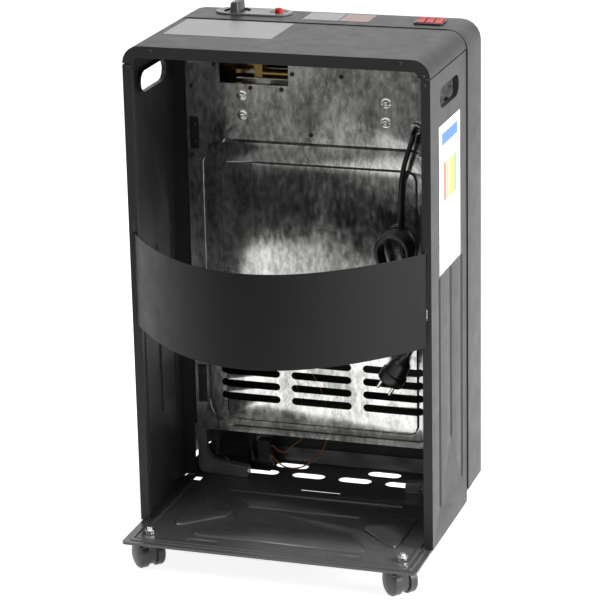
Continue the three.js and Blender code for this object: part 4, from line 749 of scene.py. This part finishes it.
def white_stage():
    """Pale floor that reads white and still takes the heater's shadow."""
    material = bpy.data.materials.new("stage_white")
    material.use_nodes = True
    tree = material.node_tree
    tree.nodes.clear()
    out = tree.nodes.new("ShaderNodeOutputMaterial")
    diffuse = tree.nodes.new("ShaderNodeBsdfDiffuse")
    shown, path = seen_directly(tree)
    place = tree.nodes.new("ShaderNodeSeparateXYZ")
    tree.links.new(tree.nodes.new("ShaderNodeTexCoord").outputs["Object"], place.inputs[0])

    def faded(near, far):
        fade = tree.nodes.new("ShaderNodeMapRange")
        fade.inputs["From Min"].default_value, fade.inputs["From Max"].default_value = FLOOR_BACK
        fade.inputs["To Min"].default_value = near
        fade.inputs["To Max"].default_value = far
        tree.links.new(place.outputs["Y"], fade.inputs["Value"])
        return fade.outputs["Result"]

    tree.links.new(faded(FLOOR_TONE, FLOOR_DIM), diffuse.inputs["Color"])
    strength = tree.nodes.new("ShaderNodeMath")
    strength.operation = "MAXIMUM"
    direct = tree.nodes.new("ShaderNodeMath")
    direct.operation = "MULTIPLY"
    direct.inputs[1].default_value = FLOOR_GLOW
    tree.links.new(path.outputs["Is Camera Ray"], direct.inputs[0])
    tree.links.new(faded(FLOOR_GLOW, FLOOR_DIM), strength.inputs[0])
    tree.links.new(direct.outputs[0], strength.inputs[1])
    glow = tree.nodes.new("ShaderNodeEmission")
    tree.links.new(strength.outputs[0], glow.inputs["Strength"])
    both = tree.nodes.new("ShaderNodeAddShader")
    tree.links.new(diffuse.outputs[0], both.inputs[0])
    tree.links.new(glow.outputs[0], both.inputs[1])
    mix = tree.nodes.new("ShaderNodeMixShader")
    tree.links.new(shown, mix.inputs["Fac"])
    tree.links.new(diffuse.outputs[0], mix.inputs[1])
    tree.links.new(both.outputs[0], mix.inputs[2])
    tree.links.new(mix.outputs[0], out.inputs["Surface"])
    return material


FLOOR_SIDE = 6.0         # metres
FLOOR_REAR = 12.0
FLOOR_FRONT = -6.0
FLOOR_LEVEL = -0.0005


def add_stage():
    bm = bmesh.new()
    outline = ((-FLOOR_SIDE, FLOOR_FRONT), (FLOOR_SIDE, FLOOR_FRONT), (FLOOR_SIDE, FLOOR_REAR),
               (-FLOOR_SIDE, FLOOR_REAR))
    corners = [bm.verts.new((x, y, FLOOR_LEVEL)) for x, y in outline]
    bm.faces.new(corners)
    mesh = bpy.data.meshes.new("floor")
    bm.to_mesh(mesh)
    bm.free()
    floor = bpy.data.objects.new("floor", mesh)
    bpy.context.collection.objects.link(floor)
    mesh.materials.append(white_stage())


def add_light(name, place, target, size, power):
    """A rectangular lamp of (width, height) in metres, aimed at the target."""
    data = bpy.data.lights.new(name, "AREA")
    data.shape = "RECTANGLE"
    data.size, data.size_y = size
    data.energy = power
    light = bpy.data.objects.new(name, data)
    bpy.context.collection.objects.link(light)
    light.location = place
    aim = Vector(target) - Vector(place)
    light.rotation_euler = aim.to_track_quat("-Z", "Y").to_euler()


WORLD_LIGHT = 0.2


def add_world():
    """Soft even light, and a white background for what is seen directly or in a gloss."""
    world = bpy.data.worlds.new("world")
    bpy.context.scene.world = world
    world.use_nodes = True
    tree = world.node_tree
    background = tree.nodes["Background"]
    background.inputs["Color"].default_value = (1, 1, 1, 1)
    background.inputs["Strength"].default_value = WORLD_LIGHT
    bright = tree.nodes.new("ShaderNodeBackground")
    bright.inputs["Color"].default_value = (1, 1, 1, 1)
    shown, _ = seen_directly(tree)
    mix = tree.nodes.new("ShaderNodeMixShader")
    tree.links.new(shown, mix.inputs["Fac"])
    tree.links.new(background.outputs[0], mix.inputs[1])
    tree.links.new(bright.outputs[0], mix.inputs[2])
    tree.links.new(mix.outputs[0], tree.nodes["World Output"].inputs["Surface"])


add_stage()
add_world()
add_light("key", (0.9, 1.9, 2.5), (0, 0, 0.45), (0.9, 0.9), 12)
add_light("fill", (-3.0, 0.1, 1.8), (0, 0, 0.4), (1.8, 2.2), 165)
add_light("front", (0.4, -2.8, 1.8), (0, 0, 0.4), (2.0, 1.6), 6)
bpy.context.scene.view_settings.view_transform = "Standard"

# ---------------------------------------------------------------- end

bpy.context.view_layer.update()
